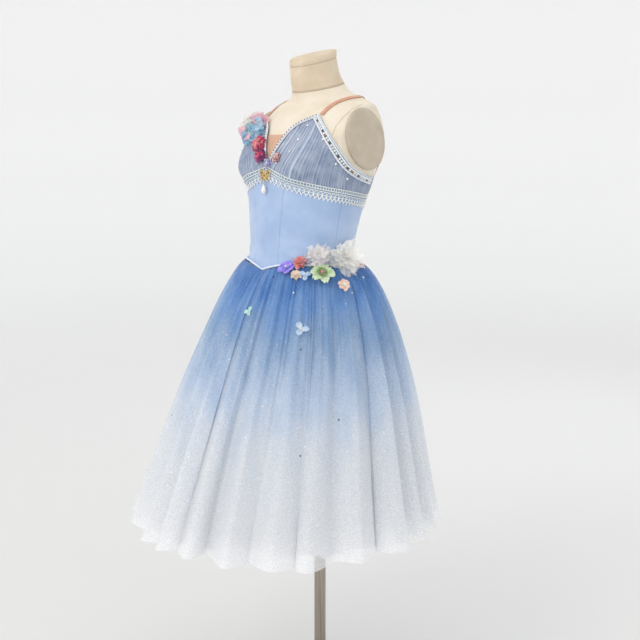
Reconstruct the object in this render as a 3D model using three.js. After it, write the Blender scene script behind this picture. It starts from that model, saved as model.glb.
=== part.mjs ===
// A romantic ballet dress on a limbless dress form with a pole stand, in millimetres.
// +Z is up, the dress faces -Y, the wearer's left is +X, and the origin is the middle of the stand's foot.
// Angles run round the body in degrees: 0 is the centre front, 90 the wearer's left side and 180 the back.
import * as THREE from "three";

// Driving sizes
const SEAM_GAP = 0.3;
const FORM_GAP = 1.2;
const SATIN = 2.0;
const CHIFFON = 2.0;
const PLEAT_RISE = 1.3;
const MESH_WALL = 1.0;
const LACE_GAP = 0.9;
const LACE_WALL = 1.0;
const LACE_DEPTH = 26;
const TULLE_WALL = 1.2;
const PIPING_RADIUS = 2.1;
const STRAP = { width: 9, thick: 1.4, lift: 0.9 };
const NECK_BRAID = { width: 7, thick: 1.6 };
const ARM_BAND = { width: 13, thick: 1.6 };
const WAIST_Z = 950;
const FORM_BOTTOM_Z = 735;
const NECK_TOP_Z = 1350;
const POLE = { radius: 12.5, foot: 44 };
const FOOT = { radius: 165, thick: 8, hubRadius: 24 };
const COLLAR = { radius: 46, thick: 6, sleeve: 18, drop: 34 };

// Wall offsets, measured out from the form's skin
const SATIN_OUT = FORM_GAP + SATIN;
const CUP_IN = FORM_GAP + 0.4;
const CUP_BASE = FORM_GAP + CHIFFON;
const CUP_CREST = CUP_BASE + PLEAT_RISE;
const TRIM_IN = CUP_CREST + 0.8;

// The body's sections, from the hip to the neck. Depths run from centreY to the front and to the back.
// tilt raises the back of a section and lowers its front, in millimetres for each millimetre of depth.
const bodyRows = [
  { z: 735, halfWidth: 158, front: 110, back: 116, centreY: -25, tilt: 0 },
  { z: 790, halfWidth: 165, front: 110, back: 125, centreY: -28, tilt: 0 },
  { z: 850, halfWidth: 158, front: 108, back: 118, centreY: -34, tilt: 0 },
  { z: 900, halfWidth: 141, front: 101, back: 107, centreY: -42, tilt: 0 },
  { z: 940, halfWidth: 125.5, front: 98, back: 98, centreY: -50, tilt: 0 },
  { z: 965, halfWidth: 118, front: 92.5, back: 92, centreY: -51.5, tilt: 0 },
  { z: 990, halfWidth: 116.5, front: 92.5, back: 92.5, centreY: -49.5, tilt: 0 },
  { z: 1028, halfWidth: 122, front: 96, back: 97, centreY: -45.5, tilt: 0 },
  { z: 1065, halfWidth: 129, front: 99, back: 104, centreY: -41, tilt: 0 },
  { z: 1090, halfWidth: 136, front: 101, back: 110, centreY: -38, tilt: 0 },
  { z: 1115, halfWidth: 145, front: 103, back: 115, centreY: -35.5, tilt: 0 },
  { z: 1140, halfWidth: 155, front: 106, back: 114, centreY: -29, tilt: 0 },
  { z: 1170, halfWidth: 168, front: 109, back: 104, centreY: -18, tilt: 0 },
  { z: 1200, halfWidth: 172, front: 110, back: 87, centreY: -4, tilt: 0 },
  { z: 1230, halfWidth: 160, front: 105, back: 65, centreY: 9, tilt: 0.02 },
  { z: 1250, halfWidth: 145, front: 98, back: 48, centreY: 17, tilt: 0.05 },
  { z: 1264, halfWidth: 127, front: 90, back: 37, centreY: 21, tilt: 0.08 },
  { z: 1276, halfWidth: 99, front: 79, back: 32, centreY: 19, tilt: 0.13 },
  { z: 1286, halfWidth: 73, front: 62, back: 39, centreY: 8, tilt: 0.19 },
  { z: 1300, halfWidth: 56, front: 53, back: 47, centreY: -3, tilt: 0.24 },
  { z: 1320, halfWidth: 49, front: 52, back: 47, centreY: -11, tilt: 0.26 },
  { z: 1350, halfWidth: 46, front: 48, back: 46, centreY: -18, tilt: 0.28 },
];
const BUST = { z: 1140, angle: 29, spread: 17, rise: 20, above: 48, below: 28 };
const ARM_CUT = { z: 1120, x: 153, slope: -0.17 };
const ARM_PLATE = { z: 1195, y: -8, halfDepth: 50, halfHeight: 58, thick: 5, bevel: 1 };

// Lines drawn on the body, each as heights against the angle from the centre front
const underbustLine = [
  { angle: 0, z: 1142 },
  { angle: 15, z: 1131 },
  { angle: 31, z: 1120 },
  { angle: 53, z: 1108 },
  { angle: 80, z: 1099 },
  { angle: 110, z: 1090 },
  { angle: 145, z: 1086 },
  { angle: 180, z: 1085 },
];
const neckline = [
  { angle: 0.2, z: 1147 },
  { angle: 3, z: 1164 },
  { angle: 6.5, z: 1186 },
  { angle: 11.4, z: 1213 },
  { angle: 18.3, z: 1229 },
  { angle: 31.5, z: 1243 },
];
const armholeLine = [
  { angle: 31.5, z: 1243 },
  { angle: 43.2, z: 1205 },
  { angle: 49.7, z: 1189 },
  { angle: 61.1, z: 1166 },
  { angle: 75.2, z: 1145 },
  { angle: 93.8, z: 1130 },
  { angle: 111, z: 1122 },
];
const backTopLine = [
  { angle: 111, z: 1122 },
  { angle: 145, z: 1117 },
  { angle: 180, z: 1113 },
];
const waistLine = [
  { angle: 0, z: 938 },
  { angle: 11, z: 944 },
  { angle: 24, z: 949 },
  { angle: 45, z: 950 },
  { angle: 180, z: 950 },
];
const PEAK_ANGLE = 31.5;
const SIDE_SEAM = { top: 78, bottom: 82 };
const PRINCESS_SEAM = { top: 19.5, bottom: 16.5 };
const BACK_SEAM = { top: 136, bottom: 140 };
const CUP_END = 111;
const INSET_TOP_Z = 1204;

const clamp01 = (t) => Math.min(1, Math.max(0, t));
const sinDeg = (angle) => Math.sin(THREE.MathUtils.degToRad(angle));
const cosDeg = (angle) => Math.cos(THREE.MathUtils.degToRad(angle));
const mix = (a, b, t) => a + (b - a) * t;

// Smooth reading of one column of a table against another, with no overshoot at its ends
function readTable(rows, key, column, at) {
  const last = rows.length - 1;
  if (at <= rows[0][key]) return rows[0][column];
  if (at >= rows[last][key]) return rows[last][column];
  let i = 0;
  while (at > rows[i + 1][key]) i++;
  const slopeAt = (k) => {
    if (k === 0 || k === last) return null;
    const run = rows[k + 1][key] - rows[k - 1][key];
    return (rows[k + 1][column] - rows[k - 1][column]) / run;
  };
  const run = rows[i + 1][key] - rows[i][key];
  const chord = (rows[i + 1][column] - rows[i][column]) / run;
  const s0 = (slopeAt(i) ?? chord) * run;
  const s1 = (slopeAt(i + 1) ?? chord) * run;
  const t = (at - rows[i][key]) / run;
  const rise = rows[i + 1][column] - rows[i][column];
  return rows[i][column] + t * s0 + t * t * (3 * rise - 2 * s0 - s1) + t * t * t * (s0 + s1 - 2 * rise);
}

const lineZ = (line, angle) => readTable(line, "angle", "z", Math.abs(angle));
const necklineAngle = (z) => readTable(neckline, "z", "angle", z);

function bustRise(angle, z) {
  const reach = z < BUST.z ? BUST.below : BUST.above;
  const upright = Math.exp(-(((z - BUST.z) / reach) ** 2));
  const round = (side) => Math.exp(-(((angle - side * BUST.angle) / BUST.spread) ** 2));
  return BUST.rise * upright * (round(1) + round(-1));
}

// A point on the form's skin, pushed out level by some millimetres
function bodyPoint(angle, z, level = 0) {
  const at = (column) => readTable(bodyRows, "z", column, z);
  const depth = cosDeg(angle) > 0 ? at("front") : at("back");
  const out = bustRise(angle, z) + level;
  const y = -(depth + out) * cosDeg(angle);
  const x = (at("halfWidth") + out) * sinDeg(angle);
  return new THREE.Vector3(x, at("centreY") + y, z + at("tilt") * y);
}

function normalOf(surface, angle, z) {
  const along = surface(angle + 0.5, z).sub(surface(angle - 0.5, z));
  const up = surface(angle, z + 0.5).sub(surface(angle, z - 0.5));
  return along.cross(up).normalize();
}

// A point that stands off the form's skin at right angles
function onBody(angle, z, out) {
  return bodyPoint(angle, z).addScaledVector(normalOf(bodyPoint, angle, z), out);
}

function makeGeometry(points, triangles) {
  const geometry = new THREE.BufferGeometry();
  const numbers = points.flatMap((p) => [p.x, p.y, p.z]);
  geometry.setAttribute("position", new THREE.Float32BufferAttribute(numbers, 3));
  geometry.setIndex(triangles.flat());
  geometry.computeVertexNormals();
  return geometry;
}

const quad = (a, b, c, d) => [
  [a, b, c],
  [a, c, d],
];

// A closed wall between two skins. inner(u, v) and outer(u, v) give points for u and v from 0 to 1, and
// u runs anticlockwise seen from above while v runs up. A ring joins its last column to its first.
function wall({ columns, rows, inner, outer, ring = false }) {
  const across = ring ? columns : columns + 1;
  const points = [];
  for (const skin of [inner, outer])
    for (let j = 0; j <= rows; j++)
      for (let i = 0; i < across; i++) points.push(skin(i / columns, j / rows));
  const layer = across * (rows + 1);
  const at = (skin, i, j) => skin * layer + j * across + (i % across);
  const triangles = [];
  for (let i = 0; i < columns; i++) {
    for (let j = 0; j < rows; j++) {
      triangles.push(...quad(at(1, i, j), at(1, i + 1, j), at(1, i + 1, j + 1), at(1, i, j + 1)));
      triangles.push(...quad(at(0, i, j), at(0, i, j + 1), at(0, i + 1, j + 1), at(0, i + 1, j)));
    }
    triangles.push(...quad(at(0, i, 0), at(0, i + 1, 0), at(1, i + 1, 0), at(1, i, 0)));
    triangles.push(...quad(at(0, i, rows), at(1, i, rows), at(1, i + 1, rows), at(0, i + 1, rows)));
  }
  for (let j = 0; j < rows && !ring; j++) {
    const [start, end] = [0, columns];
    triangles.push(...quad(at(0, start, j), at(1, start, j), at(1, start, j + 1), at(0, start, j + 1)));
    triangles.push(...quad(at(0, end, j), at(0, end, j + 1), at(1, end, j + 1), at(1, end, j)));
  }
  return makeGeometry(points, triangles);
}

// A solid skin through closed rings of points, lowest first, with flat fans at both ends
function loft(rings) {
  const across = rings[0].length;
  const middle = (ring) => ring.reduce((sum, p) => sum.add(p), new THREE.Vector3()).divideScalar(across);
  const points = [...rings.flat(), middle(rings[0]), middle(rings.at(-1))];
  const [low, high] = [points.length - 2, points.length - 1];
  const triangles = [];
  for (let i = 0; i < across; i++) {
    const next = (i + 1) % across;
    for (let j = 0; j + 1 < rings.length; j++) {
      const [a, b] = [j * across, (j + 1) * across];
      triangles.push(...quad(a + i, a + next, b + next, b + i));
    }
    const top = (rings.length - 1) * across;
    triangles.push([low, next, i], [high, top + i, top + next]);
  }
  return makeGeometry(points, triangles);
}

// A flat strip of cloth along a route of { point, normal }, lying from lift to lift + thick above it
function ribbon(route, { width, thick, lift = 0 }) {
  const rings = route.map(({ point, normal }, k) => {
    const before = route[Math.max(0, k - 1)].point;
    const after = route[Math.min(route.length - 1, k + 1)].point;
    const sideways = new THREE.Vector3().crossVectors(normal, after.clone().sub(before)).normalize();
    const left = point.clone().addScaledVector(sideways, -width / 2);
    const right = point.clone().addScaledVector(sideways, width / 2);
    const raised = (edge, height) => edge.clone().addScaledVector(normal, height);
    const [low, high] = [lift, lift + thick];
    return [raised(left, low), raised(right, low), raised(right, high), raised(left, high)];
  });
  return loft(rings);
}

const group = new THREE.Group();
const finishes = {
  satin: { color: 0xb4c9ee, roughness: 0.45, metalness: 0 },
  chiffon: { color: 0x8f9fc6, roughness: 0.75, metalness: 0 },
  nudeMesh: { color: 0xdba98d, roughness: 0.8, metalness: 0 },
  silverTrim: { color: 0xd9e0ea, roughness: 0.4, metalness: 0.2 },
  lace: { color: 0xe4ecf2, roughness: 0.8, metalness: 0 },
  piping: { color: 0xc9def5, roughness: 0.5, metalness: 0 },
  tulle: { color: 0x8fb0e2, roughness: 0.8, metalness: 0 },
  linen: { color: 0xe3d7bf, roughness: 0.9, metalness: 0 },
  steel: { color: 0xa79c8e, roughness: 0.3, metalness: 1 },
  gold: { color: 0xd9a93f, roughness: 0.3, metalness: 1 },
  pearl: { color: 0xf2efe8, roughness: 0.25, metalness: 0 },
};
const materials = Object.fromEntries(
  Object.entries(finishes).map(([name, finish]) => [name, new THREE.MeshStandardMaterial(finish)]),
);
const petalMaterial = (color) => new THREE.MeshStandardMaterial({ color, roughness: 0.6, metalness: 0 });

function addPiece(name, geometry, material) {
  const mesh = new THREE.Mesh(geometry, material);
  mesh.name = name;
  group.add(mesh);
  return mesh;
}

// Dress form: one smooth torso with flat shoulder ends, a neck cap and two arm plates.
// The front third has the closer columns, for the bust.
const formAngles = [
  ...Array.from({ length: 18 }, (_, i) => -60 + (120 * i) / 18),
  ...Array.from({ length: 16 }, (_, i) => 60 + (240 * i) / 16),
];
const formLevels = [
  735, 790, 850, 900, 938, 965, 990, 1028, 1065, 1092, 1105, 1117, 1129, 1141, 1156, 1173, 1190, 1210,
  1230, 1242, 1252, 1261, 1268, 1275, 1281, 1286, 1292, 1301, 1315, NECK_TOP_Z,
];
const armCutX = (z) => ARM_CUT.x + ARM_CUT.slope * (z - ARM_CUT.z);
function formRing(z, rise = 0, level = 0) {
  return formAngles.map((angle) => {
    const p = bodyPoint(angle, z, level);
    const limit = armCutX(p.z);
    p.x = THREE.MathUtils.clamp(p.x, -limit, limit);
    p.z += rise;
    return p;
  });
}
const WAIST_TUCK = { low: 930, high: 1040, depth: 0.8 };
const tuckAt = (z) => (z > WAIST_TUCK.low && z < WAIST_TUCK.high ? -WAIST_TUCK.depth : 0);
addPiece("form_torso", loft(formLevels.map((z) => formRing(z, 0, tuckAt(z)))), materials.linen);

const CAP = { thick: 14, overhang: 0.8, edge: 1 };
const capRings = [
  formRing(NECK_TOP_Z, SEAM_GAP, CAP.overhang),
  formRing(NECK_TOP_Z, CAP.thick - CAP.edge, CAP.overhang - 1),
  formRing(NECK_TOP_Z, CAP.thick, CAP.overhang - CAP.edge),
];
addPiece("form_neck_cap", loft(capRings), materials.linen);

function armPlate() {
  const { halfDepth, halfHeight, thick, bevel } = ARM_PLATE;
  const profile = new THREE.Shape();
  profile.absellipse(0, 0, halfDepth - bevel, halfHeight - bevel, 0, 2 * Math.PI);
  return new THREE.ExtrudeGeometry(profile, {
    depth: thick - 2 * bevel,
    curveSegments: 9,
    bevelThickness: bevel,
    bevelSize: bevel,
    bevelSegments: 1,
  });
}
for (const [name, side] of [["left", 1], ["right", -1]]) {
  const plate = addPiece(`form_arm_plate_${name}`, armPlate(), materials.linen);
  const out = new THREE.Vector3(side, 0, -ARM_CUT.slope).normalize();
  const up = new THREE.Vector3(side * ARM_CUT.slope, 0, 1).normalize();
  const across = new THREE.Vector3().crossVectors(up, out);
  plate.quaternion.setFromRotationMatrix(new THREE.Matrix4().makeBasis(across, up, out));
  plate.position.set(side * armCutX(ARM_PLATE.z), ARM_PLATE.y, ARM_PLATE.z);
  plate.position.addScaledVector(out, SEAM_GAP + ARM_PLATE.bevel);
}

// Stand: collar under the torso, pole, and a round foot with a hub
const lathe = (profile, segments) =>
  new THREE.LatheGeometry(profile.map(([r, z]) => new THREE.Vector2(r, z)), segments).rotateX(Math.PI / 2);
const collarTop = FORM_BOTTOM_Z - SEAM_GAP;
const collarLow = collarTop - COLLAR.drop;
addPiece(
  "stand_collar",
  lathe(
    [
      [0, collarLow],
      [COLLAR.sleeve, collarLow],
      [COLLAR.sleeve, collarTop - COLLAR.thick],
      [COLLAR.radius, collarTop - COLLAR.thick],
      [COLLAR.radius, collarTop],
      [0, collarTop],
    ],
    24,
  ),
  materials.steel,
);
const poleLow = POLE.foot + SEAM_GAP;
const poleHigh = collarLow - SEAM_GAP;
addPiece(
  "stand_pole",
  lathe([[0, poleLow], [POLE.radius, poleLow], [POLE.radius, poleHigh], [0, poleHigh]], 20),
  materials.steel,
);
addPiece(
  "stand_foot",
  lathe(
    [
      [0, 0],
      [FOOT.radius - 1, 0],
      [FOOT.radius, 1],
      [FOOT.radius, FOOT.thick - 2],
      [FOOT.radius - 3, FOOT.thick],
      [FOOT.hubRadius + 6, FOOT.thick + 2],
      [FOOT.hubRadius, FOOT.thick + 8],
      [FOOT.hubRadius - 3, POLE.foot],
      [0, POLE.foot],
    ],
    32,
  ),
  materials.steel,
);

// Bodice panels between two seams, each from the waist line up to the underbust line
const seamAngle = (seam, v) => mix(seam.bottom, seam.top, v);
const gapAngle = (z) => (SEAM_GAP / 2 / readTable(bodyRows, "z", "front", z)) * (180 / Math.PI) * 1.3;
const flip = (seam) => ({ top: -seam.top, bottom: -seam.bottom });
const CENTRE_BACK = { top: 180, bottom: 180 };
const bodicePanels = [
  { name: "bodice_front_centre", from: flip(PRINCESS_SEAM), to: PRINCESS_SEAM, columns: 6 },
  { name: "bodice_side_front_left", from: PRINCESS_SEAM, to: SIDE_SEAM, columns: 8 },
  { name: "bodice_side_back_left", from: SIDE_SEAM, to: BACK_SEAM, columns: 6 },
  { name: "bodice_back_left", from: BACK_SEAM, to: CENTRE_BACK, columns: 4 },
  { name: "bodice_side_front_right", from: flip(SIDE_SEAM), to: flip(PRINCESS_SEAM), columns: 8 },
  { name: "bodice_side_back_right", from: flip(BACK_SEAM), to: flip(SIDE_SEAM), columns: 6 },
  { name: "bodice_back_right", from: flip(CENTRE_BACK), to: flip(BACK_SEAM), columns: 4 },
];
// The upper rows of a panel keep a set distance below its top, and the lace lies flat across the same rows
const PANEL_ROWS = 8;
const upperRows = [
  { row: 5, drop: 48 },
  { row: 6, drop: 27 },
  { row: 7, drop: 13 },
  { row: 8, drop: SEAM_GAP },
];
const upperDrop = Object.fromEntries(upperRows.map(({ row, drop }) => [row, drop]));
function panelZ(angle, row) {
  const top = lineZ(underbustLine, angle);
  if (row >= upperRows[0].row) return top - upperDrop[row];
  return mix(lineZ(waistLine, angle), top - upperRows[0].drop, row / upperRows[0].row);
}
for (const { name, from, to, columns } of bodicePanels) {
  const skin = (out) => (u, v) => {
    const middle = mix(seamAngle(from, v), seamAngle(to, v), u);
    const z = panelZ(middle, Math.round(v * PANEL_ROWS));
    const angle = mix(seamAngle(from, v) + gapAngle(z), seamAngle(to, v) - gapAngle(z), u);
    return onBody(angle, z, out);
  };
  const size = { columns, rows: PANEL_ROWS };
  addPiece(name, wall({ ...size, inner: skin(FORM_GAP), outer: skin(SATIN_OUT) }), materials.satin);
}

// Cups and back bands: a plain inside, with pleats raised in the outer skin
const cupTop = (angle) => lineZ(Math.abs(angle) <= PEAK_ANGLE ? neckline : armholeLine, angle);
const CUP_ROW_POWER = 1.35;
const PLEATS = { cup: 17, band: 8 };
function pleated({ from, to, topOf, pleats, rows }) {
  const columns = pleats * 2;
  const skin = (offset) => (u, v) => {
    const angle = mix(from, to, u);
    const z = mix(lineZ(underbustLine, angle) + SEAM_GAP, topOf(angle), v ** CUP_ROW_POWER);
    return onBody(angle, z, offset(Math.round(u * columns)));
  };
  const rise = (i) => (i % 2 === 1 ? PLEAT_RISE : 0);
  return wall({ columns, rows, inner: skin(() => CUP_IN), outer: skin((i) => CUP_BASE + rise(i)) });
}
const bandTop = (angle) => lineZ(backTopLine, angle);
const cupEdge = 0.2;
addPiece(
  "cup_left",
  pleated({ from: cupEdge, to: CUP_END - cupEdge, topOf: cupTop, pleats: PLEATS.cup, rows: 6 }),
  materials.chiffon,
);
addPiece(
  "cup_right",
  pleated({ from: cupEdge - CUP_END, to: -cupEdge, topOf: cupTop, pleats: PLEATS.cup, rows: 6 }),
  materials.chiffon,
);
addPiece(
  "back_band_left",
  pleated({ from: CUP_END + cupEdge, to: 180 - cupEdge, topOf: bandTop, pleats: PLEATS.band, rows: 1 }),
  materials.chiffon,
);
addPiece(
  "back_band_right",
  pleated({ from: cupEdge - 180, to: -CUP_END - cupEdge, topOf: bandTop, pleats: PLEATS.band, rows: 1 }),
  materials.chiffon,
);

// Sheer inset in the V between the cups
const INSET_LOW_Z = 1155;
const INSET_GAP = 0.7;
const insetSkin = (out) => (u, v) => {
  const z = mix(INSET_LOW_Z, INSET_TOP_Z, v);
  const edge = necklineAngle(z) - 2 * gapAngle(z);
  return onBody(mix(-edge, edge, u), z, out);
};
addPiece(
  "neck_inset",
  wall({ columns: 4, rows: 5, inner: insetSkin(INSET_GAP), outer: insetSkin(INSET_GAP + MESH_WALL) }),
  materials.nudeMesh,
);

// A trim that follows one of the cup's upper edges and lies on its pleats
function edgeTrim({ line, from, to, columns, side }, { width, thick }) {
  const skin = (out) => (u, v) => {
    const share = side > 0 ? u : 1 - u;
    const angle = mix(from, to, share);
    const z = lineZ(line, angle);
    const perDegree = bodyPoint(angle + 0.5, z).distanceTo(bodyPoint(angle - 0.5, z));
    const perHeight = bodyPoint(angle, z + 0.5).distanceTo(bodyPoint(angle, z - 0.5));
    const along = perDegree;
    const climb = (lineZ(line, angle + 0.5) - lineZ(line, angle - 0.5)) * perHeight;
    const inset = (width * (1 - v)) / Math.hypot(along, climb);
    return onBody(side * (angle + (inset * climb) / perDegree), z - (inset * along) / perHeight, out);
  };
  return wall({ columns, rows: 1, inner: skin(TRIM_IN), outer: skin(TRIM_IN + thick) });
}
for (const [name, side] of [["left", 1], ["right", -1]]) {
  const neckEdge = { line: neckline, from: 2.6, to: PEAK_ANGLE - 2.6, columns: 11, side };
  addPiece(`neck_braid_${name}`, edgeTrim(neckEdge, NECK_BRAID), materials.silverTrim);
  const armEdge = { line: armholeLine, from: PEAK_ANGLE + 3.2, to: CUP_END - 1, columns: 16, side };
  addPiece(`armhole_trim_${name}`, edgeTrim(armEdge, ARM_BAND), materials.silverTrim);
}

// Scalloped lace under the bust, from the centre front to the centre back on each side
const SCALLOPS = 19;
const LACE_POINT = 4;
function laceBand(from, to) {
  const columns = SCALLOPS * 2;
  const skin = (out) => (u, v) => {
    const angle = mix(from, to, u);
    const atRow = (row) => onBody(angle, panelZ(angle, row), out);
    if (v > 0) return atRow(v < 1 ? 7 : 8);
    const depth = LACE_DEPTH - (Math.round(u * columns) % 2 === 0 ? LACE_POINT : 0);
    return atRow(7).lerp(atRow(6), (depth - upperDrop[7]) / (upperDrop[6] - upperDrop[7]));
  };
  const low = SATIN_OUT + LACE_GAP;
  return wall({ columns, rows: 2, inner: skin(low), outer: skin(low + LACE_WALL) });
}
addPiece("lace_left", laceBand(0.1, 179.9), materials.lace);
addPiece("lace_right", laceBand(-179.9, -0.1), materials.lace);

// Piping round the waist seam
const PIPING_STEPS = 48;
const pipingSides = 4;
const pipingOut = SATIN_OUT + 0.8 + PIPING_RADIUS;
const pipingSkin = Array.from({ length: pipingSides }, (_, k) => (2 * Math.PI * k) / pipingSides);
const pipingPoints = [];
const pipingTriangles = [];
for (let i = 0; i < PIPING_STEPS; i++) {
  const angle = (360 * i) / PIPING_STEPS;
  const z = lineZ(waistLine, angle > 180 ? 360 - angle : angle) + PIPING_RADIUS;
  const next = (i + 1) % PIPING_STEPS;
  pipingSkin.forEach((turn, k) => {
    const [rise, reach] = [PIPING_RADIUS * Math.sin(turn), PIPING_RADIUS * Math.cos(turn)];
    pipingPoints.push(onBody(angle, z + rise, pipingOut + reach));
    const up = (k + 1) % pipingSides;
    const [a, b] = [i * pipingSides, next * pipingSides];
    pipingTriangles.push(...quad(a + k, b + k, b + up, a + up));
  });
}
addPiece("waist_piping", makeGeometry(pipingPoints, pipingTriangles), materials.piping);

// Skirt sections for the outer tulle, from the hem up. folds is how far a gather stands out or in.
const skirtRows = [
  { z: 416, halfWidth: 312, halfDepth: 312, centreY: -97, folds: 20 },
  { z: 500, halfWidth: 288, halfDepth: 288, centreY: -86, folds: 17 },
  { z: 600, halfWidth: 262, halfDepth: 260, centreY: -73, folds: 14 },
  { z: 700, halfWidth: 235, halfDepth: 229, centreY: -61, folds: 11 },
  { z: 800, halfWidth: 203, halfDepth: 192, centreY: -51, folds: 8 },
  { z: 870, halfWidth: 177, halfDepth: 162, centreY: -47, folds: 6 },
  { z: 915, halfWidth: 156, halfDepth: 137, centreY: -46, folds: 4.2 },
  { z: 938, halfWidth: 142, halfDepth: 120, centreY: -48, folds: 2.6 },
  { z: 948, halfWidth: 133, halfDepth: 108, centreY: -50.5, folds: 1.4 },
];
const skirtLevels = [660, 800, 880, 922, 948];
const SKIRT_TOP_GAP = 0.9;
const LAYER_GAP = 0.4;
const tulleLayers = [
  {
    name: "skirt_outer", panels: 4, gathers: 24, perGather: 5, hem: 416,
    depth: 1, inward: 0, plies: 0, lag: 0,
  },
  {
    name: "skirt_middle", panels: 1, gathers: 18, perGather: 3, hem: 424,
    depth: 0.5, inward: 1.5, plies: 1, lag: 3,
  },
  {
    name: "skirt_inner", panels: 4, gathers: 10, perGather: 4, hem: 432,
    depth: 0.4, inward: 2.4, plies: 2, lag: 8,
  },
];

// How far a gather stands out at an angle, from -1 to 1. Neighbouring gathers differ in width and depth.
function gather(angle, count, lag) {
  const turn = THREE.MathUtils.degToRad(angle);
  const phase = count * (turn + 0.035 * Math.sin(3 * turn + lag) + 0.03 * Math.sin(7 * turn - lag));
  const depth = 0.78 + 0.22 * Math.sin(5 * turn + 2 * lag);
  return depth * Math.cos(phase);
}

// A point of a skirt layer. Levels near the top dip with the waist line.
function skirtPoint(layer, angle, level, extra) {
  const top = lineZ(waistLine, angle > 180 ? 360 - angle : angle) - SKIRT_TOP_GAP;
  const at = (column) => readTable(skirtRows, "z", column, level);
  const nested = layer.inward * at("folds") + layer.plies * (TULLE_WALL + LAYER_GAP);
  const out = layer.depth * at("folds") * gather(angle, layer.gathers, layer.lag) - nested + extra;
  return new THREE.Vector3(
    (at("halfWidth") + out) * sinDeg(angle),
    at("centreY") - (at("halfDepth") + out) * cosDeg(angle),
    level + (top - 948) * clamp01((level - 860) / 88),
  );
}
const PANEL_SIDES = ["front", "left", "back", "right"];
for (const layer of tulleLayers) {
  const span = 360 / layer.panels;
  const levels = [layer.hem, ...skirtLevels];
  const rows = levels.length - 1;
  for (let k = 0; k < layer.panels; k++) {
    const ring = layer.panels === 1;
    const seam = ring ? 0 : 0.075;
    const from = k * span - span / 2 + seam;
    const to = from + span - 2 * seam;
    const skin = (extra) => (u, v) =>
      skirtPoint(layer, (mix(from, to, u) + 360) % 360, levels[Math.round(v * rows)], extra);
    const columns = (layer.gathers * layer.perGather) / layer.panels;
    const name = ring ? layer.name : `${layer.name}_${PANEL_SIDES[k]}`;
    addPiece(name, wall({ columns, rows, inner: skin(0), outer: skin(TULLE_WALL), ring }), materials.tulle);
  }
}

// Shoulder straps: from the cup's peak over the shoulder and down to the back band
// A strap is furthest out on the shoulder's ridge, and stands off the hollow of the back.
const STRAP_PATH = {
  ridgeX: 94,
  inward: 0.22,
  overAngles: [34, 40, 48, 60, 75, 90, 105, 120, 133, 143],
  blade: { x: 82, z: 1255 },
  band: { x: 117, z: 1121.9 },
  standOff: 5,
};
const backDrops = [1255, 1243, 1230, 1205, 1180, 1155, 1137, STRAP_PATH.band.z];
const strapX = (angle) => STRAP_PATH.ridgeX - STRAP_PATH.inward * Math.abs(angle - 90);
function levelWhereX(angle, x) {
  let [low, high] = [1232, 1300];
  for (let k = 0; k < 24; k++) {
    const middle = (low + high) / 2;
    if (bodyPoint(angle, middle).x > x) low = middle;
    else high = middle;
  }
  return low;
}
function strapRoute(side) {
  const { overAngles, blade, band, standOff } = STRAP_PATH;
  const stations = overAngles.map((angle) => ({ angle, z: levelWhereX(angle, strapX(angle)), off: 0 }));
  for (const z of backDrops) {
    const share = (blade.z - z) / (blade.z - band.z);
    const halfWidth = readTable(bodyRows, "z", "halfWidth", z);
    const fromBack = THREE.MathUtils.radToDeg(Math.asin(mix(blade.x, band.x, share) / halfWidth));
    stations.push({ angle: 180 - fromBack, z, off: standOff * Math.sin(Math.PI * share) });
  }
  return stations.map(({ angle, z, off }) => ({
    point: onBody(side * angle, z, off),
    normal: normalOf(bodyPoint, side * angle, z),
  }));
}
const SLIDER = { width: 14, height: 11, bar: 1.6, thick: 1.4, z: 1152 };
const sliderLift = STRAP.lift + STRAP.thick + SEAM_GAP;
function sliderFrame() {
  const frame = new THREE.Shape();
  const [w, h] = [SLIDER.width / 2, SLIDER.height / 2];
  frame.moveTo(-w, -h).lineTo(w, -h).lineTo(w, h).lineTo(-w, h).closePath();
  const slot = new THREE.Path();
  const [x, y] = [w - SLIDER.bar, h - SLIDER.bar];
  slot.moveTo(-x, -y).lineTo(-x, y).lineTo(x, y).lineTo(x, -y).closePath();
  frame.holes.push(slot);
  return new THREE.ExtrudeGeometry(frame, { depth: SLIDER.thick, bevelEnabled: false });
}

// Stands a piece on a surface: its own z along the surface's normal and its own y up the surface
function seat(mesh, { point, normal, lift, spin = 0 }) {
  const up = new THREE.Vector3(0, 0, 1).addScaledVector(normal, -normal.z).normalize();
  const across = new THREE.Vector3().crossVectors(up, normal);
  mesh.quaternion.setFromRotationMatrix(new THREE.Matrix4().makeBasis(across, up, normal));
  mesh.rotateZ(THREE.MathUtils.degToRad(spin));
  mesh.position.copy(point).addScaledVector(normal, lift);
}
for (const [name, side] of [["left", 1], ["right", -1]]) {
  const route = strapRoute(side);
  addPiece(`strap_${name}`, ribbon(route, STRAP), materials.nudeMesh);
  const station = route.reduce((best, at) =>
    Math.abs(at.point.z - SLIDER.z) < Math.abs(best.point.z - SLIDER.z) ? at : best,
  );
  const slider = addPiece(`strap_slider_${name}`, sliderFrame(), materials.gold);
  seat(slider, { ...station, lift: sliderLift });
}

// Flowers: thin cups of cloth with raised hearts. rise is how far the rim stands off the cloth, heart the
// height of the middle, notch the depth of the cuts between petals as a share of the radius, and lift how
// far the flower's middle is from the dress's plain surface.
const PETAL_WALL = 1.4;
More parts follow.
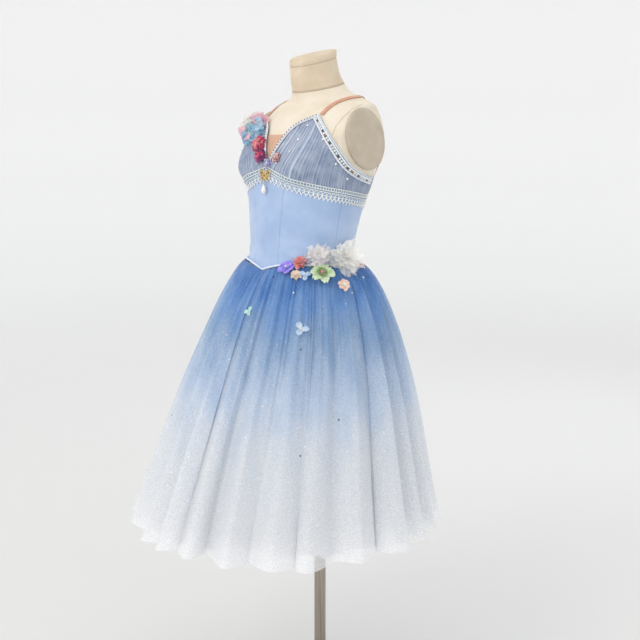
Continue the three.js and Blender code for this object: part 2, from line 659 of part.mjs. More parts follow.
// Larger flowers with notched petals get more points round the rim
const NOTCHED = 0.15;
const LARGE_FLOWER = 15;
const flowerRows = [
  {
    name: "shoulder_bloom", angle: -26, z: 1209, lift: 4.0, spin: 10,
    radius: 33, petals: 7, rise: 9, heart: 13, notch: 0.22, color: 0xe9c3d6,
  },
  {
    name: "raspberry_rosette", angle: -10.8, z: 1181, lift: 6.6, spin: 20,
    radius: 16, petals: 5, rise: 3, heart: 9, notch: 0.08, color: 0xb8365f,
  },
  {
    name: "plum_rosette", angle: -6.4, z: 1160, lift: 7.0, spin: 0,
    radius: 13, petals: 5, rise: 3, heart: 8, notch: 0.08, color: 0x7c2b6c,
  },
  {
    name: "lavender_rosette", angle: 1.7, z: 1148, lift: 4.5, spin: 0,
    radius: 9, petals: 5, rise: 2, heart: 6, notch: 0.1, color: 0xb3aee0,
  },
  {
    name: "rose_rosette", angle: 10.3, z: 1158, lift: 4.8, spin: 30,
    radius: 11, petals: 5, rise: 2, heart: 7, notch: 0.12, color: 0xc98b9b,
  },
  {
    name: "hip_violet_flower", angle: 29.3, z: 948, lift: -0.7, spin: 0,
    radius: 15, petals: 5, rise: 4, heart: 7, notch: 0.25, color: 0x7a63c7,
  },
  {
    name: "hip_coral_flower", angle: 41.6, z: 951, lift: 7.0, spin: 0,
    radius: 13, petals: 6, rise: 3, heart: 8, notch: 0.12, color: 0xd96b76,
  },
  {
    name: "hip_cream_flower", angle: 38.9, z: 938, lift: -4.3, spin: 0,
    radius: 11, petals: 5, rise: 3, heart: 6, notch: 0.2, color: 0xf1e3d2,
  },
  {
    name: "hip_blue_petals", angle: 46.5, z: 936, lift: -0.9, spin: 40,
    radius: 11, petals: 3, rise: 3, heart: 3, notch: 0.4, color: 0xa9c8f0,
  },
  {
    name: "hip_green_flower", angle: 60, z: 937, lift: 2.7, spin: 15,
    radius: 23, petals: 5, rise: 5, heart: 6, notch: 0.32, color: 0x9cc9a4,
  },
  {
    name: "hip_mauve_puff", angle: 60.5, z: 967, lift: 4.3, spin: 0,
    radius: 23, petals: 7, rise: 5, heart: 10, notch: 0.1, color: 0xb7a8b8,
  },
  {
    name: "hip_white_bloom", angle: 88.3, z: 958, lift: 9.7, spin: 0,
    radius: 35, petals: 6, rise: 8, heart: 13, notch: 0.2, color: 0xf0efe9,
  },
  {
    name: "hip_peach_bud", angle: 111, z: 947, lift: -1.6, spin: 0,
    radius: 9.5, petals: 5, rise: 2, heart: 5, notch: 0.2, color: 0xf0b394,
  },
  {
    name: "skirt_peach_flower", angle: 76.5, z: 917, lift: -1.3, spin: 0,
    radius: 13, petals: 5, rise: 4, heart: 5, notch: 0.28, color: 0xf0b394,
  },
  {
    name: "skirt_blue_petal", angle: 46.1, z: 841, lift: -3.7, spin: 40,
    radius: 13, petals: 3, rise: 4, heart: 3, notch: 0.4, color: 0x9fc4ef,
  },
  {
    name: "skirt_mint_petal", angle: 10, z: 866, lift: -3.4, spin: 70,
    radius: 10, petals: 3, rise: 3, heart: 3, notch: 0.4, color: 0xa9d6c6,
  },
];
const flowerRings = [
  { share: 0.32, heart: 0.75 },
  { share: 0.7, heart: 0.12 },
  { share: 1, heart: 0 },
];
function flower({ radius, petals, rise, heart, notch }) {
  const spokes = petals * (notch > NOTCHED && radius > LARGE_FLOWER ? 4 : 2);
  const back = [new THREE.Vector3(0, 0, 0)];
  const front = [new THREE.Vector3(0, 0, PETAL_WALL + heart)];
  for (const { share, heart: height } of flowerRings)
    for (let i = 0; i < spokes; i++) {
      const turn = (2 * Math.PI * i) / spokes;
      const lobe = Math.abs(Math.cos((petals * turn) / 2)) ** 0.7;
      const r = radius * share * (1 - share * notch * (1 - lobe));
      const z = rise * share * share * (0.7 + 0.3 * lobe);
      const [x, y] = [r * Math.cos(turn), r * Math.sin(turn)];
      back.push(new THREE.Vector3(x, y, z));
      front.push(new THREE.Vector3(x, y, z + PETAL_WALL + heart * height));
    }
  const triangles = [];
  const base = back.length;
  for (let i = 0; i < spokes; i++) {
    const next = (i + 1) % spokes;
    triangles.push([0, 1 + next, 1 + i], [base, base + 1 + i, base + 1 + next]);
    for (let k = 1; k < flowerRings.length; k++) {
      const [a, b] = [1 + (k - 1) * spokes, 1 + k * spokes];
      triangles.push(...quad(a + i, a + next, b + next, b + i));
      triangles.push(...quad(base + a + i, base + b + i, base + b + next, base + a + next));
    }
    const rim = 1 + (flowerRings.length - 1) * spokes;
    triangles.push(...quad(rim + i, rim + next, base + rim + next, base + rim + i));
  }
  return makeGeometry([...back, ...front], triangles);
}

// The dress's outermost plain surface: the bodice above the waist, the crests of the gathers below it
function dressPoint(angle, z) {
  if (z > WAIST_Z) return onBody(angle, z, SATIN_OUT);
  const at = (column) => readTable(skirtRows, "z", column, z - 2);
  const out = at("folds") + TULLE_WALL;
  const y = at("centreY") - (at("halfDepth") + out) * cosDeg(angle);
  return new THREE.Vector3((at("halfWidth") + out) * sinDeg(angle), y, z);
}
function dressNormal(angle, z, reach) {
  const along = dressPoint(angle + 4, z).sub(dressPoint(angle - 4, z));
  const up = dressPoint(angle, z + reach).sub(dressPoint(angle, z - reach));
  return along.cross(up).normalize();
}
for (const row of flowerRows) {
  const piece = addPiece(row.name, flower(row), petalMaterial(row.color));
  const high = row.z > 1050;
  const point = high ? bodyPoint(row.angle, row.z) : dressPoint(row.angle, row.z);
  const reach = 0.75 * row.radius;
  const normal = high ? normalOf(bodyPoint, row.angle, row.z) : dressNormal(row.angle, row.z, reach);
  seat(piece, { ...row, point, normal });
}

// Brooch between the cups, with a pearl drop that hangs from a bail sewn under it
const BROOCH = { angle: 0, z: 1125.5, width: 32, height: 21, lift: 5.5, petals: 4 };
const DROP = { radius: 5, height: 20, wire: 0.8, ringRadius: 1.5, ringWire: 0.5 };
const HINGE = { y: -149.5, z: 1111.5 };
const BAIL = { halfWidth: 2.6, length: 5.2 };
const brooch = addPiece(
  "brooch",
  flower({ radius: 10, petals: BROOCH.petals, rise: 2, heart: 4, notch: 0.3 })
    .rotateZ(Math.PI / 4)
    .scale(BROOCH.width / 16, BROOCH.height / 16, 1),
  materials.gold,
);
seat(brooch, {
  point: bodyPoint(BROOCH.angle, BROOCH.z),
  normal: new THREE.Vector3(0, -1, 0),
  lift: BROOCH.lift,
});
function bail() {
  const { wire } = DROP;
  const { halfWidth: side, length } = BAIL;
  const front = -HINGE.y + wire / 2;
  const foot = front - length - 2 * wire;
  const inner = side - wire;
  const staple = new THREE.Shape();
  staple.moveTo(-side, foot).lineTo(-side, front).lineTo(side, front).lineTo(side, foot);
  staple.lineTo(inner, foot).lineTo(inner, front - wire);
  staple.lineTo(-inner, front - wire).lineTo(-inner, foot).closePath();
  return new THREE.ExtrudeGeometry(staple, { depth: wire, bevelEnabled: false }).rotateZ(Math.PI);
}
addPiece("brooch_bail", bail(), materials.gold).position.z = HINGE.z - DROP.wire / 2;
const dropRing = new THREE.TorusGeometry(DROP.ringRadius, DROP.ringWire, 6, 12).rotateY(Math.PI / 2);
addPiece("drop_ring", dropRing, materials.gold).position.set(0, HINGE.y, HINGE.z);
const dropProfile = [
  { share: 0, radius: 0 },
  { share: 0.03, radius: 0.45 },
  { share: 0.15, radius: 0.85 },
  { share: 0.32, radius: 1 },
  { share: 0.5, radius: 0.88 },
  { share: 0.72, radius: 0.48 },
  { share: 0.92, radius: 0.2 },
  { share: 1, radius: 0 },
];
const dropPoints = dropProfile.map(({ share, radius }) => [radius * DROP.radius, share * DROP.height]);
const pearlLow = HINGE.z - DROP.ringRadius - DROP.ringWire - SEAM_GAP - DROP.height;
addPiece("pearl_drop", lathe(dropPoints, 12), materials.pearl).position.set(0, HINGE.y, pearlLow);

export default group;
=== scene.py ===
import math

import bpy
import numpy as np
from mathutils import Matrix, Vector


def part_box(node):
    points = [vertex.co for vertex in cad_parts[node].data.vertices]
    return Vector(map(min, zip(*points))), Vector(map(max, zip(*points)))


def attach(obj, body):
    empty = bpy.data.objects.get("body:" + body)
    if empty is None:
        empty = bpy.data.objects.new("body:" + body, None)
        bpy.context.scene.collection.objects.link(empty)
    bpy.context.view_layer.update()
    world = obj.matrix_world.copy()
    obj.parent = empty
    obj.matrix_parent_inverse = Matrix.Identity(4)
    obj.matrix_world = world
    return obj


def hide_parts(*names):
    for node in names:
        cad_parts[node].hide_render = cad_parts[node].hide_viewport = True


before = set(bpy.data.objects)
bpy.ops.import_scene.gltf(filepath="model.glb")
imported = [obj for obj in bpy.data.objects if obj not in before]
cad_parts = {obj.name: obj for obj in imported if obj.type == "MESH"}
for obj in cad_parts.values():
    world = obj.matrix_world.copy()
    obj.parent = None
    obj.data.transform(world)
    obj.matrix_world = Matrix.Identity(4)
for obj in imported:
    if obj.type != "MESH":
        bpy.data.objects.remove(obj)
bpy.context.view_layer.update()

# A ballet dress on a limbless dress form. Shapes are worked out in millimetres, in the frame of the CAD
# model, and turned to metres where a mesh is made. Angles run round the body in degrees: 0 is the centre
# front, 90 the wearer's left side and 180 the centre back.
MM = 0.001
DRESS = "dress_on_form"
DROP = "pearl_drop"
SIDES = ((1, "left"), (-1, "right"))
rng = np.random.default_rng(11)


# Colour and materials


def linear(hex_colour):
    """An sRGB hex colour as linear RGBA."""
    channels = [int(hex_colour[i : i + 2], 16) / 255 for i in (1, 3, 5)]
    return [c / 12.92 if c <= 0.04045 else ((c + 0.055) / 1.055) ** 2.4 for c in channels] + [1.0]


def add_node(tree, kind, inputs=None, stops=None, **settings):
    """Adds a shader node with its settings, and puts a value or a link at each named or numbered input."""
    node = tree.nodes.new("ShaderNode" + kind)
    for name, value in settings.items():
        setattr(node, name, value)
    for name, value in (inputs or {}).items():
        if isinstance(value, bpy.types.NodeSocket):
            tree.links.new(value, node.inputs[name])
        else:
            node.inputs[name].default_value = value
    if stops:
        elements = node.color_ramp.elements
        while len(elements) < len(stops):
            elements.new(1.0)
        for element, (place, colour) in zip(elements, stops):
            element.position = place
            element.color = linear(colour)
    return node


def new_material(name, shader):
    """A material whose Principled shader has these values, with its tree and that shader."""
    material = bpy.data.materials.new(name)
    material.use_nodes = True
    surface = material.node_tree.nodes["Principled BSDF"]
    for socket, value in shader.items():
        surface.inputs[socket].default_value = value
    return material, material.node_tree, surface


def per_metre(size_mm):
    """The scale of a texture whose repeat has this size."""
    return 1 / (size_mm * MM)


def noise(tree, place, size_mm, detail=2.0, roughness=0.5):
    """Noise whose patches have this size."""
    inputs = {"Vector": place, "Scale": per_metre(size_mm), "Detail": detail, "Roughness": roughness}
    return add_node(tree, "TexNoise", inputs).outputs["Fac"]


def spread(tree, value, low, high, to_low=0.0, to_high=1.0):
    """Spreads a value's range over another."""
    return add_node(tree, "MapRange", {0: value, 1: low, 2: high, 3: to_low, 4: to_high}).outputs[0]


def ramp(tree, value, stops):
    """Colours along a value."""
    return add_node(tree, "ValToRGB", {"Fac": value}, stops=stops).outputs["Color"]


def plus(tree, a, b):
    """Two values added up."""
    return add_node(tree, "Math", {0: a, 1: b}, operation="ADD").outputs[0]


def join(tree, surface, **sources):
    """Links sources to the shader's sockets. An underscore stands for a space."""
    for socket, source in sources.items():
        tree.links.new(source, surface.inputs[socket.replace("_", " ")])


def object_place(tree):
    """Places on the object itself, in metres."""
    return add_node(tree, "TexCoord").outputs["Object"]


def shade_and_bump(tree, surface, place, colours, patch_mm, grain_mm, bump_mm):
    """Colours that drift over patches of cloth or metal, and a fine grain raised by bump_mm."""
    share = spread(tree, noise(tree, place, patch_mm, 3.0, 0.55), 0.25, 0.75)
    colour = ramp(tree, share, [(k / (len(colours) - 1), shade) for k, shade in enumerate(colours)])
    grain = noise(tree, place, grain_mm, 2.0, 0.6)
    bump = add_node(tree, "Bump", {"Height": grain, "Strength": 0.8, "Distance": bump_mm * MM}).outputs[0]
    join(tree, surface, Base_Color=colour, Normal=bump)
    return colour, bump


def woven(name, colours, shader, thread_mm, bump_mm, patch_mm=40):
    """A plain weave: crossed threads thread_mm apart over drifting patches of colour."""
    material, tree, surface = new_material(name, shader)
    place = object_place(tree)
    _, bump = shade_and_bump(tree, surface, place, colours, patch_mm, thread_mm * 2, bump_mm)
    wave = {"Vector": place, "Scale": per_metre(thread_mm) / 6.283, "Distortion": 1.2, "Detail": 1.0}
    heights = [add_node(tree, "TexWave", wave, bands_direction=way).outputs["Fac"] for way in ("X", "Z")]
    weave = {"Height": plus(tree, *heights), "Strength": 0.5, "Distance": bump_mm * MM, "Normal": bump}
    join(tree, surface, Normal=add_node(tree, "Bump", weave).outputs[0])
    return material


# Cotton jersey glued over the form: matt, slightly uneven in tone, with a weave drawn at 1.8 mm so that
# it shows.
cream_linen = woven("cotton_jersey_cream", ("#e1d5bf", "#eadfcc", "#f0e8d9"), {"Roughness": 0.92}, 1.8, 0.12)
# Jersey in a browner tan on the neck and its cap, darker than on the chest, so the neck reads as a sleeve of
# its own.
neck_linen = woven(
    "cotton_jersey_tan", ("#d3c1a7", "#dccbb3", "#e6d8c2"), {"Roughness": 0.93}, 1.8, 0.12
)
# The form's cream jersey painted greyer and darker as shade, on the arm plates so that they read as ends set
# into the form, and on the form's seams.
shaded_jersey = woven("cotton_jersey_painted_shade", ("#bcae9a", "#c6b9a7", "#d2c7b6"), {"Roughness": 0.93}, 1.8, 0.12)


def brushed_steel():
    """Stainless tube, brushed along its length: streaked warm grey reflections."""
    material, tree, surface = new_material("stainless_steel_brushed", {"Metallic": 1.0, "Roughness": 0.34})
    mapping = {"Vector": object_place(tree), "Scale": (1.0, 1.0, 0.02)}
    lengthwise = add_node(tree, "Mapping", mapping).outputs[0]
    shade_and_bump(tree, surface, lengthwise, ("#8f877c", "#a79e92", "#b9b2a8"), 3, 0.9, 0.02)
    join(tree, surface, Roughness=spread(tree, noise(tree, lengthwise, 1.5), 0, 1, 0.26, 0.46))
    return material


# Duchess satin: close weave with a soft broad highlight, paler where the light rakes it.
SATIN = {"Roughness": 0.46, "Sheen Weight": 0.25, "Sheen Roughness": 0.4, "Specular IOR Level": 0.45}
ice_satin = woven("duchess_satin_ice_blue", ("#9cb5db", "#a9c0e3", "#b7cbea"), SATIN, 1.6, 0.05, 55)


def pleated_chiffon():
    """Silk chiffon in pressed pleats: grey blue, with painted shade dark in each pleat's groove, and a pale
    line at each fold's edge that is partly painted highlight and partly the one layer less there.
    """
    shader = {"Roughness": 0.7, "Sheen Weight": 0.35, "Sheen Roughness": 0.5}
    material, tree, surface = new_material("silk_chiffon_grey_blue_painted_pleat_shade", shader)
    place = add_node(tree, "TexCoord").outputs
    colour, _ = shade_and_bump(
        tree, surface, place["Object"], ("#92a1ba", "#a5b1c7", "#b8c0d0"), 26, 1.2, 0.05
    )
    phase = add_node(tree, "SeparateXYZ", {"Vector": place["UV"]}).outputs["X"]
    part = add_node(tree, "Math", {0: phase}, operation="FRACT").outputs[0]
    # Across each pleat: painted shade in the groove by its hidden fold, painted highlight at its edge.
    stops = [(0.0, "#8d8d8d"), (0.12, "#262626"), (0.5, "#6a6a6a"), (0.82, "#828282"), (0.93, "#ffffff")]
    amount = spread(tree, noise(tree, place["Object"], 17), 0.35, 0.7, 0.45, 0.95)
    blend = {"Factor": amount, 6: colour, 7: ramp(tree, part, stops)}
    painted_pleat_shade = add_node(tree, "Mix", blend, data_type="RGBA", blend_type="SOFT_LIGHT")
    join(tree, surface, Base_Color=painted_pleat_shade.outputs[2])
    return material


chiffon = pleated_chiffon()
# Nylon tricot mesh in a skin shade: sheer and matt, so the jersey shows faintly through it.
nude_mesh = woven(
    "nylon_tricot_nude", ("#d6a88d", "#e0b69c", "#e8c3ac"), {"Roughness": 0.8, "Alpha": 0.86}, 1.4, 0.05
)
# Lurex cord: bright silver yarn twisted tight, so that it glints in dashes.
SHINE = {"Roughness": 0.35, "Metallic": 0.1}
silver_cord = woven("lurex_cord_silver", ("#dde5ee", "#f1f5fa", "#ffffff"), SHINE, 1.0, 0.1, 4)
# Cotton guipure lace: matt white thread with a raised grain.
lace_thread = woven(
    "cotton_guipure_white", ("#eef4f4", "#f8fbfa", "#ffffff"), {"Roughness": 0.85}, 0.9, 0.08, 6,
)
# Grosgrain ribbon under the lace's ribbed edge: greyed blue.
lace_ribbon = woven(
    "grosgrain_grey_blue", ("#7890a9", "#8aa1b8", "#9cb2c6"), {"Roughness": 0.7}, 1.6, 0.15, 9,
)
# The same ribbon darkened to slate under the beads and braids, as painted shade in the gaps between them, so
# that they stand out pale.
slate_shade_ribbon = woven("grosgrain_slate_painted_shade", ("#4c5f78", "#5c6f89", "#71849c"), {"Roughness": 0.7}, 1.6, 0.15, 9)
# Bias piping in satin over a cord: the palest blue on the dress, soft gloss.
GLOSS = {"Roughness": 0.4, "Sheen Weight": 0.3, "Sheen Roughness": 0.3}
piping_satin = woven("bias_satin_pale_blue", ("#cfe0f6", "#dceaf9", "#eaf4ff"), GLOSS, 1.6, 0.08, 12)
# Woven elastic, nude: an even weave with a faint shine.
nude_elastic = woven(
    "woven_elastic_nude", ("#c98f72", "#d6a187", "#e0b19a"), {"Roughness": 0.55}, 1.1, 0.15, 15,
)

# The dye from the hem up to the waist
DYE = [
    (0.00, "#f3f5f9"),
    (0.16, "#f3f6fb"),
    (0.30, "#eff4fb"),
    (0.42, "#e6eef9"),
    (0.52, "#d3e2f7"),
    (0.63, "#bed3ee"),
    (0.76, "#98b8de"),
    (0.88, "#7aa8e1"),
    (0.96, "#5a8ed2"),
    (1.00, "#4e81c4"),
]
# The heights in metres between which the dye runs
HEM_Z = 0.416
WAIST_Z = 0.948


def tulle(name, opacity, drift):
    """Nylon net dipped in blue dye: it fades to white down its length, unevenly from fold to fold.
    The net's holes are drawn 2.4 mm wide, three times their size, so that its grain shows."""
    shader = {"Roughness": 0.8, "Sheen Weight": 0.8, "Sheen Roughness": 0.45}
    material, tree, surface = new_material(name, shader)
    place = object_place(tree)
    height = add_node(tree, "SeparateXYZ", {"Vector": place}).outputs["Z"]
    upright = add_node(tree, "Mapping", {"Vector": place, "Scale": (1.0, 1.0, 0.12)}).outputs[0]
    shift = spread(tree, noise(tree, upright, 30, 3.0), 0.36, 0.64, -drift * MM, drift * MM)
    share = spread(tree, plus(tree, height, shift), HEM_Z, WAIST_Z)
    join(tree, surface, Base_Color=ramp(tree, share, DYE))
    if opacity < 1:
        net = {"Vector": place, "Scale": per_metre(2.4)}
        edge = add_node(tree, "TexVoronoi", net, feature="DISTANCE_TO_EDGE").outputs["Distance"]
        join(tree, surface, Alpha=spread(tree, edge, 0.02, 0.25, opacity + 0.16, opacity - 0.1))
    return material


def organza(name, colours, alpha):
    """Silk organza: crisp and sheer, so petals deepen in colour where they overlap."""
    shader = {"Roughness": 0.4, "Alpha": alpha, "Sheen Weight": 0.5, "Sheen Roughness": 0.3}
    return woven(f"silk_organza_{name}", colours, shader, 0.9, 0.05, 9)


def silk(name, colours):
    """Silk taffeta cut into petals: opaque, soft gloss, its shades drifting from petal to petal."""
    shader = {"Roughness": 0.5, "Sheen Weight": 0.3}
    return woven(f"silk_taffeta_{name}", colours, shader, 0.9, 0.06, 6)


def plain(name, colours, shader, patch_mm, grain_mm):
    """A hard surface whose colour drifts a little."""
    material, tree, surface = new_material(name, shader)
    shade_and_bump(tree, surface, object_place(tree), colours, patch_mm, grain_mm, 0.01)
    return material


def gem(name, colours, roughness, metallic):
    """Cut glass with a foil back, cast metal or glitter: sharp glints of the lights around it."""
    shader = {"Roughness": roughness, "Metallic": metallic, "IOR": 1.6, "Coat Weight": 1.0}
    return plain(name, colours, shader, 3, 1.5)


steel = brushed_steel()
outer_net = tulle("nylon_tulle_outer", 0.52, 26)
second_net = tulle("nylon_tulle_second", 0.6, 34)
third_net = tulle("nylon_tulle_third", 0.72, 30)
lining_net = tulle("nylon_tulle_lining", 1.0, 22)
gilt = gem("brass_gilt_cast", ("#cfa45a", "#f0d792", "#fff5d8"), 0.18, 1.0)
clear_crystal = gem("glass_crystal_clear", ("#d5dee8", "#f0f5fa", "#ffffff"), 0.08, 0.3)
dark_crystal = gem("glass_crystal_smoke", ("#1b2433", "#33425a", "#4d5c74"), 0.08, 0.2)
amber_crystal = gem("glass_crystal_amber", ("#5c3a12", "#94682a", "#d9ae5e"), 0.08, 0.3)
rose_crystal = gem("glass_crystal_rose", ("#a63f5c", "#cf7b8e", "#e7a9b4"), 0.1, 0.2)
# Glass pearl: lacquered, white with warm patches and a small clear highlight.
LACQUER = {"Roughness": 0.28, "Coat Weight": 0.8, "Coat Roughness": 0.08, "Sheen Weight": 0.2}
pearl = plain("glass_pearl_white", ("#e9e4dc", "#f4f1ec", "#ffffff"), LACQUER, 5, 2)
glitter = gem("glitter_flake_silver", ("#c5d0e0", "#f2f6fb", "#ffffff"), 0.2, 0.9)
# The petals' cloths, named as the slots of the flowers
PETALS = {
    "pink_organza": organza("pink", ("#eea9bf", "#f6c6d5", "#fde3ea"), 0.74),
    "blue_organza": organza("blue", ("#85c0e6", "#aed8f1", "#d9effa"), 0.74),
    "sky_silk": organza("sky", ("#a3c6ea", "#c2dcf4", "#e2f0fb"), 0.8),
    "mauve_organza": organza("mauve", ("#cdbfcc", "#e0d6de", "#f2ecf0"), 0.5),
    "white_organza": organza("white", ("#efeee8", "#f9f7f1", "#ffffff"), 0.55),
    "raspberry_silk": silk("raspberry", ("#a3244e", "#cf4873", "#e887a3")),
    "plum_silk": silk("plum", ("#5f1a50", "#8c3278", "#b866a4")),
    "lavender_silk": silk("lavender", ("#9a95d0", "#b9b5e6", "#d8d6f4")),
    "rose_silk": silk("rose", ("#a7687a", "#c98b9b", "#e0b0ba")),
    "violet_silk": silk("violet", ("#7b69da", "#9686ee", "#b9aff8")),
    "coral_silk": silk("coral", ("#d76d75", "#ec9698", "#fac6c2")),
    "cream_silk": silk("cream", ("#ecd9c0", "#f6ead8", "#fdf7ee")),
    "leaf_silk": silk("leaf", ("#b1cf9c", "#cde2ba", "#e8f4dc")),
    "moss_silk": silk("moss", ("#5f7a45", "#7d9a5a", "#9bb57a")),
    "peach_silk": silk("peach", ("#f2bfa8", "#f9d9ca", "#fff2ea")),
    "mint_silk": silk("mint", ("#93cbc0", "#b3ddd2", "#d6efe8")),
}


# The body and the dress as surfaces


class SmoothTable:
    """Named columns of numbers, read smoothly against the first column."""

    def __init__(self, names, rows):
        data = np.array(rows, float)
        self.keys = data[:, 0]
        self.columns = {name: data[:, k] for k, name in enumerate(names)}

    def read(self, name, at):
        keys, values = self.keys, self.columns[name]
        at = np.clip(np.asarray(at, float), keys[0], keys[-1])
        chord = np.diff(values) / np.diff(keys)
        inner = (values[2:] - values[:-2]) / (keys[2:] - keys[:-2])
        slopes = np.concatenate([chord[:1], inner, chord[-1:]])
        i = np.clip(np.searchsorted(keys, at, side="right") - 1, 0, len(keys) - 2)
        run = keys[i + 1] - keys[i]
        t = (at - keys[i]) / run
        start, end = slopes[i] * run, slopes[i + 1] * run
        rise = values[i + 1] - values[i]
        return values[i] + t * start + t**2 * (3 * rise - 2 * start - end) + t**3 * (start + end - 2 * rise)


# Sections of the form from the hip to the neck, whose depths go forward and back from centre_y. tilt tips
# the upper sections forward.
BODY = SmoothTable(
    ("z", "half_width", "front", "back", "centre_y", "tilt"),
    [
        (735, 158, 110, 116, -25, 0),
        (790, 165, 110, 125, -28, 0),
        (850, 158, 108, 118, -34, 0),
        (900, 141, 101, 107, -42, 0),
        (940, 125.5, 98, 98, -50, 0),
        (965, 118, 92.5, 92, -51.5, 0),
        (990, 116.5, 92.5, 92.5, -49.5, 0),
        (1028, 122, 96, 97, -45.5, 0),
        (1065, 129, 99, 104, -41, 0),
        (1090, 136, 101, 110, -38, 0),
        (1115, 145, 103, 115, -35.5, 0),
        (1140, 155, 106, 114, -29, 0),
        (1170, 168, 109, 104, -18, 0),
        (1200, 172, 110, 87, -4, 0),
        (1230, 160, 105, 65, 9, 0.02),
        (1250, 145, 98, 48, 17, 0.05),
        (1264, 127, 90, 37, 21, 0.08),
        (1276, 99, 79, 32, 19, 0.13),
        (1286, 73, 62, 39, 8, 0.19),
        (1300, 56, 53, 47, -3, 0.24),
        (1320, 49, 52, 47, -11, 0.26),
        (1350, 46, 48, 46, -18, 0.28),
    ],
)
# Sections of the skirt from the hem to the waist, and how deep its folds are
SKIRT = SmoothTable(
    ("z", "half_width", "half_depth", "centre_y", "folds"),
    [
        (416, 312, 312, -97, 20),
        (500, 288, 288, -86, 17),
        (600, 262, 260, -73, 14),
        (700, 235, 229, -61, 11),
        (800, 203, 192, -51, 8),
        (870, 177, 162, -47, 6),
        (915, 156, 137, -46, 4.2),
        (938, 142, 120, -48, 2.6),
        (948, 133, 108, -50.5, 1.4),
    ],
)
# The skirt's top, and the height of the yoke over which it comes to follow the waist line
SKIRT_TOP = 948
YOKE = 88


def drawn_line(rows):
    """Heights against the angle from the centre front."""
    return SmoothTable(("angle", "z"), rows)


# Edges of the pieces round the body: angle and height
UNDERBUST = drawn_line(
    [(0, 1142), (15, 1131), (31, 1120), (53, 1108), (80, 1099), (110, 1090), (145, 1086), (180, 1085)]
)
NECKLINE_ROWS = [(0.2, 1147), (3, 1164), (6.5, 1186), (11.4, 1213), (18.3, 1229), (31.5, 1243)]
NECKLINE = drawn_line(NECKLINE_ROWS)
NECK_ANGLE = SmoothTable(("z", "angle"), [(z, angle) for angle, z in NECKLINE_ROWS])
ARMHOLE_ROWS = [
    (31.5, 1243), (43.2, 1205), (49.7, 1189), (61.1, 1166), (75.2, 1145), (93.8, 1130), (111, 1122),
]
ARMHOLE = drawn_line(ARMHOLE_ROWS)
BACK_TOP = drawn_line([(111, 1122), (145, 1117), (180, 1113)])
WAIST = drawn_line([(0, 938), (11, 944), (24, 949), (45, 950), (180, 950)])
# A bust on each side swells the form out by rise, and more softly above than below.
BUST = {"z": 1140, "angle": 29, "spread": 17, "rise": 20, "above": 48, "below": 28}
# Where the form is cut off at the arms, and the angles of the cup's peak and of its end under the arm
ARM_CUT = {"z": 1120, "x": 153, "slope": -0.17}
PEAK = 31.5
CUP_END = 111
CUT_EDGE = 3
# How far the satin, the pleats, the trims and the lace stand off the form's skin
SATIN_OUT = 3.2
CUP_BASE = 3.2
TRIM_OUT = 6.1
LACE_OUT = 4.6


def circle(count):
    """Even angles round a circle, in radians."""
    return 2 * np.pi * np.arange(count) / count


def mix(a, b, t):
    """A value a share t of the way from a to b."""
    return a + (b - a) * t


def smooth_step(low, high, value):
    """Rises softly from 0 at low to 1 at high."""
    t = np.clip((value - low) / (high - low), 0, 1)
    return t * t * (3 - 2 * t)


def oval(wide, high, level, around):
    """Points of an oval about Z, at a level."""
    return np.stack([wide * np.cos(around), high * np.sin(around), level + 0 * around], -1)


def spun(points, angle):
    """Points turned round Z by an angle in radians."""
    c, s = math.cos(angle), math.sin(angle)
    return points @ np.array([[c, s, 0], [-s, c, 0], [0, 0, 1]])


def unit(vectors):
    """Vectors of length one."""
    return vectors / np.maximum(np.linalg.norm(vectors, axis=-1, keepdims=True), 1e-9)


def line_z(line, angle):
    """The height of a drawn line, the same on both sides."""
    return line.read("z", np.abs(angle))


def bust_rise(angle, z):
    """How far the two busts swell the form out."""
    reach = np.where(z < BUST["z"], BUST["below"], BUST["above"])
    upright = np.exp(-(((z - BUST["z"]) / reach) ** 2))
    left = np.exp(-(((angle - BUST["angle"]) / BUST["spread"]) ** 2))
    right = np.exp(-(((angle + BUST["angle"]) / BUST["spread"]) ** 2))
    return BUST["rise"] * upright * (left + right)


def body_point(angle, z, level=0.0):
    """Points on the form's skin, pushed out level by some millimetres."""
    angle, z = np.broadcast_arrays(np.asarray(angle, float), np.asarray(z, float))
    turn = np.radians(angle)
    depth = np.where(np.cos(turn) > 0, BODY.read("front", z), BODY.read("back", z))
    out = bust_rise(angle, z) + level
    y = -(depth + out) * np.cos(turn)
    x = (BODY.read("half_width", z) + out) * np.sin(turn)
    return np.stack([x, BODY.read("centre_y", z) + y, z + BODY.read("tilt", z) * y], -1)


def body_normal(angle, z):
    """Directions straight out of the form's skin."""
    along = body_point(np.asarray(angle) + 0.5, z) - body_point(np.asarray(angle) - 0.5, z)
    up = body_point(angle, np.asarray(z) + 0.5) - body_point(angle, np.asarray(z) - 0.5)
    return unit(np.cross(along, up))


def on_body(angle, z, out):
    """Points that stand off the form's skin at right angles."""
    out = np.asarray(out, float)
    return body_point(angle, z) + body_normal(angle, z) * out[..., None]


def below_edge(line, angle, inset, out, side):
    """Points that lie inset millimetres inside one of the cup's upper edges."""
    z = line_z(line, angle)
    per_degree = np.linalg.norm(body_point(angle + 0.5, z) - body_point(angle - 0.5, z), axis=-1)
    per_height = np.linalg.norm(body_point(angle, z + 0.5) - body_point(angle, z - 0.5), axis=-1)
    climb = (line_z(line, angle + 0.5) - line_z(line, angle - 0.5)) * per_height
    share = inset / np.hypot(per_degree, climb)
    place = side * (angle + share * climb / per_degree)
    height = z - share * per_degree / per_height
    return on_body(place, height, out), body_normal(place, height)


# Making meshes


